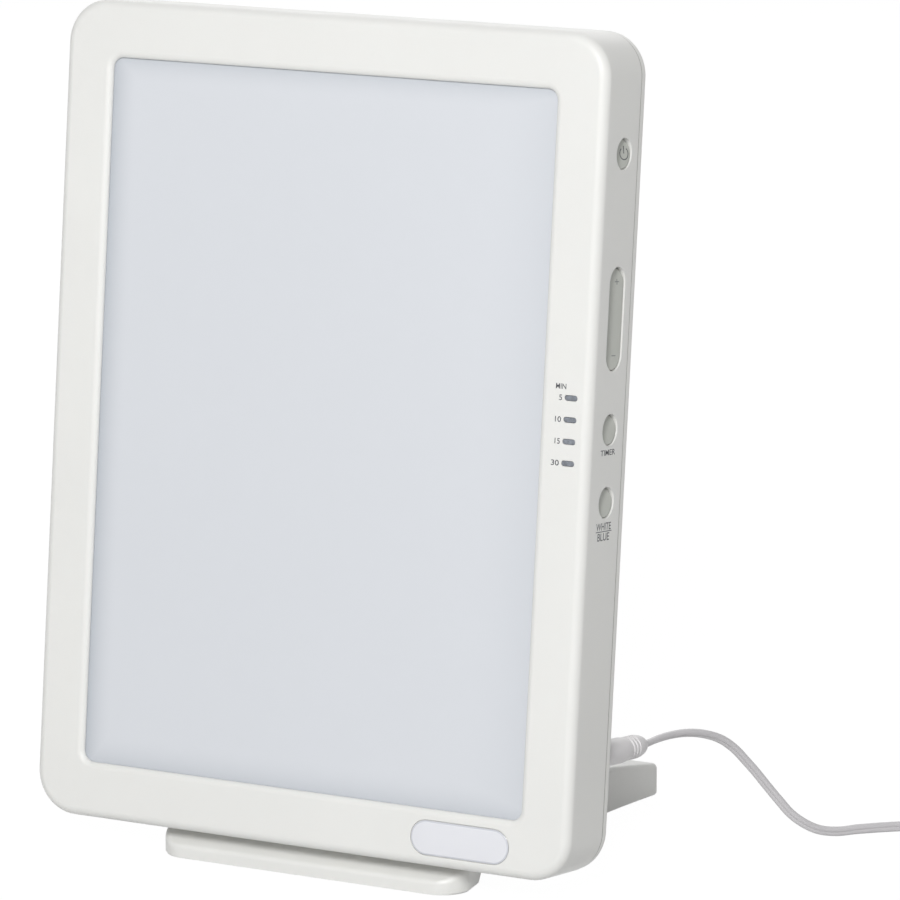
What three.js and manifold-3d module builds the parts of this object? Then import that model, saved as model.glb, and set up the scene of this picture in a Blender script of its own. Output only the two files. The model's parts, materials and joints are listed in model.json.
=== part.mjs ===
// Tabletop light therapy lamp: a flat lit panel that leans back on a moulded stand.
// Millimetres. X runs to the right as seen from the front, Y from front to back, Z up.
// The panel is built upright, front face at Y = 0 and bottom edge at Z = 0, then leaned.

import * as THREE from "three";
import { mergeVertices } from "three/addons/utils/BufferGeometryUtils.js";
import Module from "manifold-3d";

// Shared clearances
const seat = 0.3; // between pieces that touch or slide
const overrun = 1; // how far a cut runs past the face it opens
const blend = 0.6; // how far a joined detail reaches into the piece that carries it

// Panel casing
const panelWidth = 244.4;
const panelHeight = 330;
const cornerRadius = 17.5;
const frontFillet = 4;
const seamDepth = 28.8;
const coverEdge = 4.8;
const coverFillet = 2;
const sideWall = 2.2;
const frontWall = 2.4;
const coverWall = 2.2;
const lipWall = 1.2;
const lipReach = 2.3;
const tiltDegrees = 5.79;
const panelLift = 14;

// Window
const sideBezel = 21.7;
const endBezel = 22.7;
const windowRadius = 4.5;
const windowLip = 2.8;
const windowLipDepth = 2;

// Light unit behind the window
const diffuserLap = 5;
const diffuserThickness = 2.5;
const diffuserRadius = 8;
const trayFlange = 3.5;
const trayWall = 1;
const traySlope = 6;
const electronicsSpace = 9.7;
const stripWidth = 12;
const stripLength = 250;
const stripBoard = 1.2;
const stripMargin = 17; // from the foot of the tray's slope to the outer strips
const stripCount = 4;
const chipSize = 5;
const chipHeight = 1.2;
const chipCount = 8;
const trayPostRadius = 3;
const trayPostX = 60;
const trayPostSpacing = 150;

// Driver board
const driverWidth = 70;
const driverHeight = 45;
const driverX = 50;
const driverZ = 52.5;
const boardThickness = 1.6;
const standoffRadius = 2.5;
const standoffHeight = 2.8;
const standoffInset = 4;
const leadRadius = 1.2;
const terminalSize = 6;

// Side controls: places are measured down from the top edge of the panel
const controlDepth = 17.4;
const powerDrop = 46.4;
const rockerDrop = 110.2;
const timerDrop = 153.2;
const colourDrop = 181.6;
const buttonDiameter = 11.8;
const buttonRecess = 0.6;
const buttonEdge = 0.4;
const buttonDish = 1.4;
const buttonFlange = 1.2;
const buttonFlangeLip = 1.2;
const stemRadius = 2;
const stemReach = 1;
const rockerWidth = 12.2;
const rockerLength = 39.9;
const rockerPlate = 2.4;
const rockerDish = 1.3;
const rockerDishShares = [0.2, 0.5, 0.85];
const rockerHubHalf = 4;
const rockerStemOffset = 14;
const pinRadius = 1;
const pinInset = 5.5;
const earThickness = 1.8;
const earReach = 2.7;
const pressGap = 0.9;
const switchBody = 6;
const switchHeight = 3.5;
const plungerRadius = 1.7;
const plungerHeight = 1.2;
const controlBoardWidth = 17;
const controlBoardMargin = 11.4;
const boardHolderHeight = 4;
const boardHolderWall = 1.2;
const boardHolderGrip = 2.5;

// Minute indicators on the front face: the first is the one at the top
const indicatorInset = 8.7;
const indicatorTopDrop = 140.6;
const indicatorPitch = 8.45;
const pillWidth = 5.6;
const pillHeight = 2.2;
const pillRadius = 1;
const lensRecess = 0.15;
const lensFlange = 1;
const lensFlangeLip = 0.9;
const indicatorBoardWidth = 10.9;
const indicatorBoardGap = 2.7;
const indicatorBoardThickness = 1.4;
const indicatorBoardMargin = 5.6;
const indicatorChip = 2.2;
const indicatorPostRadius = 1.4;

// Blank badge on the lower bezel
const badgeWidth = 43.4;
const badgeHeight = 13.6;
const badgeX = 74.5;
const badgeZ = 11.5;
const badgeRecess = 0.6;
const badgeDome = 0.8;

// Cover screws
const bossRadius = 4;
const bossReach = 9.4;
const screwShank = 1.2;
const screwHead = 2.9;
const screwHeadHeight = 2;
const screwHeadDepth = 5;
const screwLength = 14;
const screwPlay = 0.4;
const sideScrewShare = 0.625; // of the way from the power jack up to the control board

// Power jack and plug
const jackZ = 46.2;
const jackWidth = 8.4;
const jackHeight = 11;
const jackLength = 11.8;
const jackCollar = 3.9;
const jackCollarRecess = 0.2;
const jackPin = 1;
const jackPinTip = 0.9;
const barrelRadius = 2.75;
const barrelWall = 1.45;
const barrelReach = 9.5;
const barrelSocket = 3.3;
const plugRadius = 5.2;
const plugGripLength = 24.5;
const plugTaper = 8;
const plugNeckRadius = 4.8;
const plugDome = 9;
const plugTipRadius = 2.6;
const plugGrooveCount = 3;
const plugGrooveWidth = 1.2;
const plugGrooveDepth = 0.6;

// Vents in the back cover
const ventWidth = 2.4;
const ventLength = 30;
const ventPitch = 7;
const ventCount = 11;
const ventDrop = 62;

// Tongue of the stand and its socket on the back cover
const tongueWidth = 60;
const tongueThickness = 5.2;
const tongueTop = 74.5;
const tongueRadius = 8;
const tongueRoot = 12;
const socketWall = 2.5;
const socketDraft = 3;
const socketRoof = 1.5;
const socketCap = 4;

// Stand
const padProud = 0.5; // how far the stand is held off the table
const toeFront = 7.5;
const toeHalfWidth = 69.3;
const toeCornerRadius = 11.5;
const toeFace = 3.7;
const toeEdge = 2.5;
const toeSlopeDegrees = 27;
const saddleFront = 19.2;
const hubRamp = 5;
const hubTop = 27;
const crownFront = 50;
const waistHalfWidth = 59.5;
const waistY = 120.9;
const standRear = 194;
const rearHalfWidth = 64.6;
const rearHeight = 13.5;
const rearCornerRadius = 4;
const rearEdge = 3.5;
const sideEdge = 3;
const bottomEdge = 0.8;
const standWall = 2.5;
const archFront = 29.5;
const archRise = 14.5;
const archFrontRun = 12.5;
const archRear = 140;
const archRearRun = 35;
const archBendShare = 0.7;
const archEaseShare = 1.6;
const neckFront = 26;
const neckRear = 42.5;
const ribThickness = 2;
const ribCount = 5;
const longRibShares = [-0.6, -0.2, 0.2, 0.6];
const padRadius = 5;
const padHeight = 1.9;
const padBoss = 8.6;
const padX = 50;
const frontPadY = 18;
const rearPadInset = 19;

// Lead, its coil, the tie and the wall adapter
const leadDiameter = 4.2;
const coilX = 230;
const coilY = 169.2;
const coilRadius = 30.2;
const coilPitch = 5.2;
const coilLift = 1.2;
const coilLayers = 4;
const coilTurns = 8.25;
const coilTail = 22; // straight end that leaves the coil beside the adapter
const tieWidth = 6;
const tieThickness = 0.6;
const tieClearance = 0.5;
const reliefRadius = 4;
const reliefTipRadius = 3;
const reliefLength = 12;
const adapterWidth = 40;
const adapterLength = 58;
const adapterHeight = 30;
const adapterRound = 4;
const bladeWidth = 6.3;
const bladeThickness = 1.5;
const bladeLength = 17;
const bladeSpacing = 12.7;

// Counts of flats
const cornerSteps = 6;
const smallSteps = 2;
const arcSteps = 4;
const dishSteps = 3;
const roundSides = 20;
const smallSides = 12;

// Places worked out from the sizes above
const halfWidth = panelWidth / 2;
const middle = panelHeight / 2;
const coverFront = seamDepth + seat;
const panelDepth = coverFront + coverEdge;
const coverInner = panelDepth - coverWall;
const wallInner = halfWidth - sideWall;
const lipInner = wallInner - seat - lipWall;
const windowHalfWidth = halfWidth - sideBezel;
const windowHalfHeight = middle - endBezel;
const diffuserHalfWidth = windowHalfWidth + diffuserLap;
const diffuserHalfHeight = windowHalfHeight + diffuserLap;
const diffuserFront = frontWall + seat;
const diffuserBack = diffuserFront + diffuserThickness;
const trayFront = diffuserBack + seat;
const trayBack = coverInner - electronicsSpace;
const tilt = THREE.MathUtils.degToRad(tiltDegrees);

const wasm = await Module();
wasm.setup();

// Solids and geometry

// A closed geometry as a solid, turned so that its faces point outwards.
function solid(geometry) {
  const bare = new THREE.BufferGeometry();
  bare.setAttribute("position", geometry.getAttribute("position"));
  bare.setIndex(geometry.index);
  const merged = mergeVertices(bare, 1e-4);
  const places = merged.getAttribute("position");
  const a = new THREE.Vector3();
  const b = new THREE.Vector3();
  const c = new THREE.Vector3();
  const corners = [];
  let volume = 0;
  for (let i = 0; i < merged.index.count; i += 3) {
    const [p, q, r] = [0, 1, 2].map((k) => merged.index.getX(i + k));
    if (p === q || q === r || r === p) continue;
    a.fromBufferAttribute(places, p);
    b.fromBufferAttribute(places, q);
    c.fromBufferAttribute(places, r);
    volume += a.dot(b.cross(c));
    corners.push(p, q, r);
  }
  if (volume < 0) corners.reverse();
  const mesh = new wasm.Mesh({
    numProp: 3,
    vertProperties: new Float32Array(places.array),
    triVerts: new Uint32Array(corners),
  });
  return new wasm.Manifold(mesh);
}

// Joins or cuts solids given as geometries or as solids.
const asSolid = (shape) => (shape.isBufferGeometry ? solid(shape) : shape);

function join(first, ...others) {
  return others.reduce((body, other) => body.add(asSolid(other)), asSolid(first));
}

function cut(first, ...others) {
  return others.reduce((body, other) => body.subtract(asSolid(other)), asSolid(first));
}

// A named mesh from a solid, with its own material.
function piece(name, shape, finish) {
  const made = asSolid(shape).getMesh();
  const geometry = new THREE.BufferGeometry();
  geometry.setAttribute("position", new THREE.BufferAttribute(made.vertProperties, 3));
  geometry.setIndex(new THREE.BufferAttribute(made.triVerts, 1));
  geometry.computeVertexNormals();
  const mesh = new THREE.Mesh(geometry, new THREE.MeshStandardMaterial(finish));
  mesh.name = name;
  return mesh;
}

// The corners of a rounded rectangle about the origin, anticlockwise.
function outline(halfU, halfV, radius, steps = cornerSteps) {
  const corners = [
    [1, 1],
    [-1, 1],
    [-1, -1],
    [1, -1],
  ];
  return corners.flatMap(([u, v], corner) =>
    Array.from({ length: steps + 1 }, (_, step) => {
      const angle = (Math.PI / 2) * (corner + step / steps);
      return new THREE.Vector2(
        u * (halfU - radius) + radius * Math.cos(angle),
        v * (halfV - radius) + radius * Math.sin(angle),
      );
    }),
  );
}

// A surface through rings of equally many points, capped at both ends or closed on itself.
function loft(rings, closed = false) {
  const count = rings[0].length;
  const places = rings.flat().flatMap((point) => point.toArray());
  const index = [];
  const bands = closed ? rings.length : rings.length - 1;
  for (let band = 0; band < bands; band += 1) {
    const near = band * count;
    const far = ((band + 1) % rings.length) * count;
    for (let i = 0; i < count; i += 1) {
      const next = (i + 1) % count;
      index.push(near + i, near + next, far + next);
      index.push(near + i, far + next, far + i);
    }
  }
  if (!closed) {
    const last = (rings.length - 1) * count;
    for (let i = 1; i < count - 1; i += 1) {
      index.push(0, i + 1, i);
      index.push(last, last + i, last + i + 1);
    }
  }
  const geometry = new THREE.BufferGeometry();
  geometry.setAttribute("position", new THREE.Float32BufferAttribute(places, 3));
  geometry.setIndex(index);
  return geometry;
}

// A rounded rectangle parallel to the panel's face, about the middle of the panel.
function ring(halfU, halfV, radius, depth, x = 0, z = middle, steps = cornerSteps) {
  const points = outline(halfU, halfV, radius, steps);
  return points.map((p) => new THREE.Vector3(x + p.x, depth, z + p.y));
}

const casingRing = (inset, depth) =>
  ring(halfWidth - inset, middle - inset, cornerRadius - inset, depth);

const windowRing = (grow, depth) =>
  ring(windowHalfWidth + grow, windowHalfHeight + grow, windowRadius + grow, depth);

// A block between two depths with a rounded outline parallel to the panel's face.
function slab(halfU, halfV, radius, near, far, x = 0, z = middle, steps = cornerSteps) {
  return loft([near, far].map((depth) => ring(halfU, halfV, radius, depth, x, z, steps)));
}

function block([x0, x1], [y0, y1], [z0, z1]) {
  const geometry = new THREE.BoxGeometry(x1 - x0, y1 - y0, z1 - z0);
  return geometry.translate((x0 + x1) / 2, (y0 + y1) / 2, (z0 + z1) / 2);
}

// Round bars and turned shapes: along Y as made, or laid along X or Z.
function aim(geometry, axis) {
  if (axis === "x") geometry.rotateZ(-Math.PI / 2);
  if (axis === "z") geometry.rotateX(Math.PI / 2);
  return geometry;
}

function rod(radius, from, to, axis, [u, v], sides = smallSides) {
  const geometry = new THREE.CylinderGeometry(radius, radius, to - from, sides);
  aim(geometry.translate(0, (from + to) / 2, 0), axis);
  if (axis === "x") return geometry.translate(0, u, v);
  if (axis === "y") return geometry.translate(u, 0, v);
  return geometry.translate(u, v, 0);
}

// A profile of [radius, place along the axis] turned about the axis.
function turned(profile, axis = "y", sides = roundSides) {
  const points = profile.map(([radius, along]) => new THREE.Vector2(radius, along));
  return aim(new THREE.LatheGeometry(points, sides), axis);
}

// A round tube through points, with flat ends.
function tube(points, diameter, steps, sides = 8) {
  const route = new THREE.CatmullRomCurve3(points, false, "centripetal");
  const section = new THREE.Shape(
    Array.from({ length: sides }, (_, i) => {
      const angle = (2 * Math.PI * i) / sides;
      return new THREE.Vector2(Math.cos(angle), Math.sin(angle)).multiplyScalar(diameter / 2);
    }),
  );
  return new THREE.ExtrudeGeometry(section, { steps, extrudePath: route });
}

// Finishes
const white = { color: 0xeeeeec, roughness: 0.42, metalness: 0 };
const standWhite = { color: 0xf0f0ee, roughness: 0.36, metalness: 0 };
const opal = { color: 0xdce2ea, roughness: 0.3, metalness: 0 };
const grey = { color: 0xacb0ac, roughness: 0.5, metalness: 0 };
const smoke = { color: 0x8c94a0, roughness: 0.3, metalness: 0 };
const clear = { color: 0xe6e6f0, roughness: 0.08, metalness: 0 };
const trayWhite = { color: 0xf4f4f2, roughness: 0.6, metalness: 0 };
const laminate = { color: 0x2f6b45, roughness: 0.6, metalness: 0 };
const black = { color: 0x1c1c1e, roughness: 0.55, metalness: 0 };
const steel = { color: 0xb4b6b8, roughness: 0.3, metalness: 1 };
const nickel = { color: 0xc8c6c0, roughness: 0.25, metalness: 1 };
const vinyl = { color: 0xcbc9cb, roughness: 0.5, metalness: 0 };
const rubber = { color: 0xb8b8b4, roughness: 0.8, metalness: 0 };
const brass = { color: 0xc9a553, roughness: 0.3, metalness: 1 };

const panel = new THREE.Group();
const ground = new THREE.Group();
const cords = new THREE.Group();

// Heights of the controls
const powerZ = panelHeight - powerDrop;
const rockerZ = panelHeight - rockerDrop;
const timerZ = panelHeight - timerDrop;
const colourZ = panelHeight - colourDrop;
const buttonHole = buttonDiameter / 2 + seat;
const slotHalfWidth = rockerWidth / 2 + seat;
const slotHalfLength = rockerLength / 2 + seat;
const slotNear = controlDepth - slotHalfWidth;
const slotFar = controlDepth + slotHalfWidth;
const pinX = halfWidth - pinInset;

// The buttons press on the switches of a board that stands on edge beside the light unit
const flangeOuter = wallInner - seat;
const flangeInner = flangeOuter - buttonFlange;
const stemTip = flangeInner - stemReach;
const plungerTip = stemTip - pressGap;
const switchFace = plungerTip - plungerHeight;
const boardOuter = switchFace - switchHeight - seat;
const boardInner = boardOuter - boardThickness;
const boardNear = controlDepth - controlBoardWidth / 2;
const boardFar = controlDepth + controlBoardWidth / 2;
const boardBottom = colourZ - controlBoardMargin;
const boardTop = powerZ + switchBody;
const jackTop = jackZ + jackHeight / 2;
const sideScrewZ = THREE.MathUtils.lerp(jackTop, boardBottom, sideScrewShare);

// Screw bosses stand in the channel between the light unit and the side wall
const bossX = (wallInner + diffuserHalfWidth) / 2;
const bossInset = (sideWall + middle - diffuserHalfHeight) / 2;
const bossTop = coverInner - bossReach - seat;
const screwSeat = panelDepth - screwHeadDepth + seat;
const screwEnd = screwSeat - screwLength;
const screwPlaces = [bossInset, sideScrewZ, panelHeight - bossInset].flatMap((z) => [
  [-bossX, z],
  [bossX, z],
]);

// Minute indicators
const indicatorX = halfWidth - indicatorInset;
const indicatorPlaces = [0, 1, 2, 3].map(
  (row) => panelHeight - indicatorTopDrop - row * indicatorPitch,
);
const lensBack = frontWall + seat + lensFlange;
const indicatorBoardNear = lensBack + indicatorBoardGap;
const indicatorBoardFar = indicatorBoardNear + indicatorBoardThickness;

// Power jack
const jackX = lipInner - seat - jackWidth / 2;
const jackBack = coverInner - seat;
const jackFront = jackBack - jackLength;
const jackBore = barrelRadius + seat;
const collarEnd = panelDepth - jackCollarRecess;
const barrelTip = panelDepth - barrelReach + seat;
const plugFace = panelDepth + seat;

// Socket and tongue
const socketHalfWidth = tongueWidth / 2 + seat;
const tongueNear = panelDepth + seat;
const tongueFar = tongueNear + tongueThickness;
const socketFar = tongueFar + seat;
const socketOuter = socketFar + socketWall;

// Front housing: one shell from the seam round the front edge, over the window lip and back
const filletRings = Array.from({ length: arcSteps + 1 }, (_, step) => {
  const angle = ((Math.PI / 2) * step) / arcSteps;
  return casingRing(
    frontFillet * (1 - Math.cos(angle)),
    frontFillet * (1 - Math.sin(angle)),
  );
});
const lipRings = Array.from({ length: arcSteps + 1 }, (_, step) => {
  const angle = ((Math.PI / 2) * step) / arcSteps;
  return windowRing(
    windowLip * (1 - Math.sin(angle)),
    windowLipDepth * (1 - Math.cos(angle)),
  );
});
const housingShell = loft(
  [
    casingRing(0, seamDepth),
    ...filletRings,
    ...lipRings,
    windowRing(0, frontWall),
    casingRing(sideWall, frontWall),
    casingRing(sideWall, seamDepth),
  ],
  true,
);

const bossRods = screwPlaces.map((place) =>
  rod(bossRadius, frontWall - blend, bossTop, "y", place, smallSides),
);
const bossHoles = screwPlaces.map((place) =>
  rod(screwShank + seat, screwEnd - seat, bossTop + overrun, "y", place, smallSides),
);

// Holders grip the front edge of the control board
const holderPlaces = [
  boardBottom + boardHolderHeight,
  rockerZ - rockerHubHalf,
  boardTop - boardHolderHeight,
];
const holders = holderPlaces.map((z) =>
  block(
    [boardInner - seat - boardHolderWall, boardOuter + seat + boardHolderWall],
    [frontWall - blend, boardNear + boardHolderGrip],
    [z - boardHolderHeight / 2, z + boardHolderHeight / 2],
  ),
);
const holderSlots = holderPlaces.map((z) =>
  block(
    [boardInner - seat, boardOuter + seat],
    [boardNear - seat, boardNear + boardHolderGrip + overrun],
    [z - boardHolderHeight, z + boardHolderHeight],
  ),
);

// Two ears beside the slot carry the pin of the rocker
const ears = [
  [slotNear - earThickness, slotNear],
  [slotFar, slotFar + earThickness],
].map((depths) =>
  block(
    [pinX - earReach, wallInner + blend],
    depths,
    [rockerZ - rockerHubHalf, rockerZ + rockerHubHalf],
  ),
);
const earHole = rod(
  pinRadius + seat,
  slotNear - earThickness - overrun,
  slotFar + earThickness + overrun,
  "y",
  [pinX, rockerZ],
);

const indicatorPostZs = [
  indicatorPlaces[3] - indicatorBoardMargin + indicatorPostRadius,
  indicatorPlaces[0] + indicatorBoardMargin - indicatorPostRadius,
];
const indicatorPosts = indicatorPostZs.map((z) =>
  rod(indicatorPostRadius, frontWall - blend, indicatorBoardNear - seat, "y", [indicatorX, z]),
);

const buttonHoles = [powerZ, timerZ, colourZ].map((z) =>
  rod(buttonHole, wallInner - overrun, halfWidth + overrun, "x", [controlDepth, z], roundSides),
);

// A rounded rectangle in the side wall, between two places along X.
function sidePlate(halfDepth, halfLength, radius, near, far, z) {
  const section = outline(halfDepth, halfLength, radius);
  const at = (x) => section.map((p) => new THREE.Vector3(x, controlDepth + p.x, z + p.y));
  return loft([at(near), at(far)]);
}

const rockerSlot = sidePlate(
  slotHalfWidth,
  slotHalfLength,
  slotHalfWidth,
  wallInner - overrun,
  halfWidth + overrun,
  rockerZ,
);
const pillSlots = indicatorPlaces.map((z) =>
  slab(
    pillWidth / 2,
    pillHeight / 2,
    pillRadius,
    -overrun,
    frontWall + overrun,
    indicatorX,
    z,
    smallSteps,
  ),
);
const badgeSlot = slab(
  badgeWidth / 2 + seat,
  badgeHeight / 2 + seat,
  badgeHeight / 2 + seat,
  -overrun,
  badgeRecess,
  badgeX,
  badgeZ,
);

const housingSolid = cut(
  join(housingShell, ...bossRods, ...holders, ...ears, ...indicatorPosts),
  ...bossHoles,
  ...holderSlots,
  earHole,
  ...buttonHoles,
  rockerSlot,
  ...pillSlots,
  badgeSlot,
);
panel.add(piece("front_housing", housingSolid, white));

// Back cover: a shallow lid whose inner lip enters the housing
const coverFilletRings = Array.from({ length: arcSteps }, (_, step) => {
  const angle = ((Math.PI / 2) * (step + 1)) / arcSteps;
  return casingRing(
    coverFillet * (1 - Math.cos(angle)),
    panelDepth - coverFillet * (1 - Math.sin(angle)),
  );
});
const lipOuterInset = sideWall + seat;
const coverShell = loft([
  casingRing(lipOuterInset + lipWall, coverInner),
  casingRing(lipOuterInset + lipWall, seamDepth - lipReach),
  casingRing(lipOuterInset, seamDepth - lipReach),
  casingRing(lipOuterInset, coverFront),
  casingRing(0, coverFront),
  casingRing(0, panelDepth - coverFillet),
  ...coverFilletRings,
]);
const coverBosses = screwPlaces.map((place) =>
  rod(bossRadius, coverInner - bossReach, coverInner + blend, "y", place, smallSides),
);
const coverHoles = screwPlaces.flatMap((place) => [
  rod(screwShank + screwPlay, 0, panelDepth + overrun, "y", place, smallSides),
  rod(
    screwHead + screwPlay,
    panelDepth - screwHeadDepth,
    panelDepth + overrun,
    "y",
    place,
    smallSides,
  ),
]);
const trayPostZs = [middle - trayPostSpacing / 2, middle + trayPostSpacing / 2];
const trayPosts = trayPostZs.flatMap((z) =>
  [-trayPostX, trayPostX].map((x) =>
    rod(trayPostRadius, trayBack + seat, coverInner + blend, "y", [x, z]),
  ),
);
const standoffPlaces = [-1, 1].flatMap((u) =>
  [-1, 1].map((v) => [
    driverX + u * (driverWidth / 2 - standoffInset),
    driverZ + v * (driverHeight / 2 - standoffInset),
  ]),
);
const standoffs = standoffPlaces.map((place) =>
  rod(standoffRadius, coverInner - standoffHeight, coverInner + blend, "y", place),
);

// The socket is a pocket on the outside of the cover, open at its lower end
const lean = new THREE.Matrix4()
  .makeTranslation(0, 0, panelLift)
  .multiply(new THREE.Matrix4().makeRotationX(-tilt));
const socketBottom =
  (hubTop + seat - panelLift + socketOuter * Math.sin(tilt)) / Math.cos(tilt);
const socketPocketTop = tongueTop + socketRoof;
const socketTop = socketPocketTop + socketCap;
const socketMiddle = (socketBottom + socketTop) / 2;
const socketHalfHeight = (socketTop - socketBottom) / 2;
const socketBlock = loft([
  ring(
    socketHalfWidth + socketWall + socketDraft,
    socketHalfHeight,
    tongueRadius,
    panelDepth - blend,
    0,
    socketMiddle,
  ),
  ring(
    socketHalfWidth + socketWall,
    socketHalfHeight,
    tongueRadius,
    socketOuter,
    0,
    socketMiddle,
  ),
]);
const pocketBottom = socketBottom - 2 * tongueRadius;
const socketPocket = slab(
  socketHalfWidth,
  (socketPocketTop - pocketBottom) / 2,
  tongueRadius,
  panelDepth,
  socketFar,
  0,
  (socketPocketTop + pocketBottom) / 2,
);
const ventZ = panelHeight - ventDrop;
const vents = Array.from({ length: ventCount }, (_, i) =>
  slab(
    ventWidth / 2,
    ventLength / 2,
    ventWidth / 2,
    coverInner - overrun,
    panelDepth + overrun,
    (i - (ventCount - 1) / 2) * ventPitch,
    ventZ,
    smallSteps,
  ),
);
const jackHole = rod(
  jackCollar + seat,
  coverInner - overrun,
  panelDepth + overrun,
  "y",
  [jackX, jackZ],
  roundSides,
);
const coverSolid = cut(
  join(coverShell, ...coverBosses, ...trayPosts, ...standoffs, socketBlock),
  ...coverHoles,
  socketPocket,
  jackHole,
  ...vents,
);
panel.add(piece("back_cover", coverSolid, white));

// Screws of the cover
screwPlaces.forEach(([x, z], i) => {
  const screw = turned(
    [
      [0, screwEnd],
      [screwShank, screwEnd],
      [screwShank, screwSeat],
      [screwHead, screwSeat],
      [screwHead, screwSeat + screwHeadHeight / 2],
      [screwHead / 2, screwSeat + screwHeadHeight],
      [0, screwSeat + screwHeadHeight],
    ],
    "y",
    smallSides,
  );
  panel.add(piece(`cover_screw_${i + 1}`, screw.translate(x, 0, z), steel));
});

// Light unit: opal sheet, reflector tray and the strips on its floor
const diffuser = slab(
  diffuserHalfWidth,
  diffuserHalfHeight,
  diffuserRadius,
  diffuserFront,
  diffuserBack,
);
panel.add(piece("diffuser_panel", diffuser, opal));

const trayRing = (inset, depth) =>
  ring(diffuserHalfWidth - inset, diffuserHalfHeight - inset, diffuserRadius, depth);
const trayFloor = trayBack - trayWall;
const trayShell = loft([
  trayRing(trayWall + trayFlange + traySlope, trayFloor),
  trayRing(trayWall + trayFlange, trayFront),
  trayRing(trayWall, trayFront),
  trayRing(trayWall, trayFront + trayWall),
  trayRing(trayFlange, trayFront + trayWall),
  trayRing(trayFlange + traySlope, trayBack),
]);
panel.add(piece("reflector_tray", trayShell, trayWhite));

const stripBack = trayFloor - seat;
const stripFront = stripBack - stripBoard;
const trayFloorHalf = diffuserHalfWidth - trayWall - trayFlange - traySlope;
const stripPitch = (2 * (trayFloorHalf - stripMargin - stripWidth / 2)) / (stripCount - 1);
for (let i = 0; i < stripCount; i += 1) {
  const x = (i - (stripCount - 1) / 2) * stripPitch;
  const board = block(
    [x - stripWidth / 2, x + stripWidth / 2],
    [stripFront, stripBack],
    [middle - stripLength / 2, middle + stripLength / 2],
  );
  const chips = Array.from({ length: chipCount }, (_, k) => {
    const z = middle + ((k + 1 / 2) / chipCount - 1 / 2) * stripLength;
    return block(
      [x - chipSize / 2, x + chipSize / 2],
      [stripFront - chipHeight, stripFront + stripBoard / 2],
      [z - chipSize / 2, z + chipSize / 2],
    );
  });
  panel.add(piece(`led_strip_${i + 1}`, join(board, ...chips), laminate));
}

// Driver board with its coil, capacitors and terminals
const driverBack = coverInner - standoffHeight - seat;
const driverFront = driverBack - boardThickness;
const driverRoom = driverFront - trayBack - seat;
const driverPart = (u, v, halfU, halfV, heightShare) =>
  block(
    [driverX + driverWidth * (u - halfU), driverX + driverWidth * (u + halfU)],
    [driverFront - driverRoom * heightShare, driverFront + boardThickness / 2],
    [driverZ + driverHeight * (v - halfV), driverZ + driverHeight * (v + halfV)],
  );
const driverPartShares = [
  [-0.05, 0, 0.13, 0.18, 1],
  [0.24, 0.26, 0.06, 0.1, 0.8],
  [-0.34, -0.12, 0.05, 0.2, 0.6],
  [0.18, -0.3, 0.12, 0.06, 0.5],
];
const terminalFront = driverFront - driverRoom;
const inTerminal = block(
  [driverX + driverWidth / 2 - terminalSize, driverX + driverWidth / 2],
  [terminalFront, driverFront + boardThickness / 2],
  [driverZ - terminalSize, driverZ],
);
const outTerminal = block(
  [driverX + driverWidth / 2 - 2 * terminalSize, driverX + driverWidth / 2 - terminalSize / 2],
  [terminalFront, driverFront + boardThickness / 2],
  [driverZ + driverHeight / 2 - terminalSize, driverZ + driverHeight / 2],
);
const driverBoard = block(
  [driverX - driverWidth / 2, driverX + driverWidth / 2],
  [driverFront, driverBack],
  [driverZ - driverHeight / 2, driverZ + driverHeight / 2],
);
panel.add(
  piece(
    "driver_board",
    join(
      driverBoard,
      inTerminal,
      outTerminal,
      ...driverPartShares.map((shares) => driverPart(...shares)),
    ),
    laminate,
  ),
);

// Control board and its switches
const controlBoard = block(
  [boardInner, boardOuter],
  [boardNear, boardFar],
  [boardBottom, boardTop],
);
panel.add(piece("control_board", controlBoard, laminate));

const switchPlaces = {
  power_switch: powerZ,
  brighter_switch: rockerZ + rockerStemOffset,
  dimmer_switch: rockerZ - rockerStemOffset,
  timer_switch: timerZ,
  colour_switch: colourZ,
};
for (const [name, z] of Object.entries(switchPlaces)) {
  const body = block(
    [boardOuter + seat, switchFace],
    [controlDepth - switchBody / 2, controlDepth + switchBody / 2],
    [z - switchBody / 2, z + switchBody / 2],
  );
  const plunger = rod(
    plungerRadius,
    switchFace - blend,
    plungerTip,
    "x",
    [controlDepth, z],
    smallSides,
  );
  panel.add(piece(name, join(body, plunger), black));
}

// Buttons: a dished cap, a flange that stays behind the wall and a stem
const capRadius = buttonDiameter / 2;
const capFace = halfWidth - buttonRecess;
const capDish = Array.from({ length: dishSteps + 1 }, (_, step) => {
  const share = 1 - step / dishSteps;
  return [(capRadius - buttonEdge) * share, capFace - buttonDish * (1 - share ** 2)];
});
const buttonProfile = [
  [0, stemTip],
  [stemRadius, stemTip],
  [stemRadius, flangeInner],
  [capRadius + buttonFlangeLip, flangeInner],
  [capRadius + buttonFlangeLip, flangeOuter],
  [capRadius, flangeOuter],
  [capRadius, capFace - buttonEdge],
  ...capDish,
];
const buttonPlaces = { power_button: powerZ, timer_button: timerZ, colour_button: colourZ };
for (const [name, z] of Object.entries(buttonPlaces)) {
  const button = turned(buttonProfile, "x").translate(0, controlDepth, z);
  panel.add(piece(name, button, grey));
}

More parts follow.
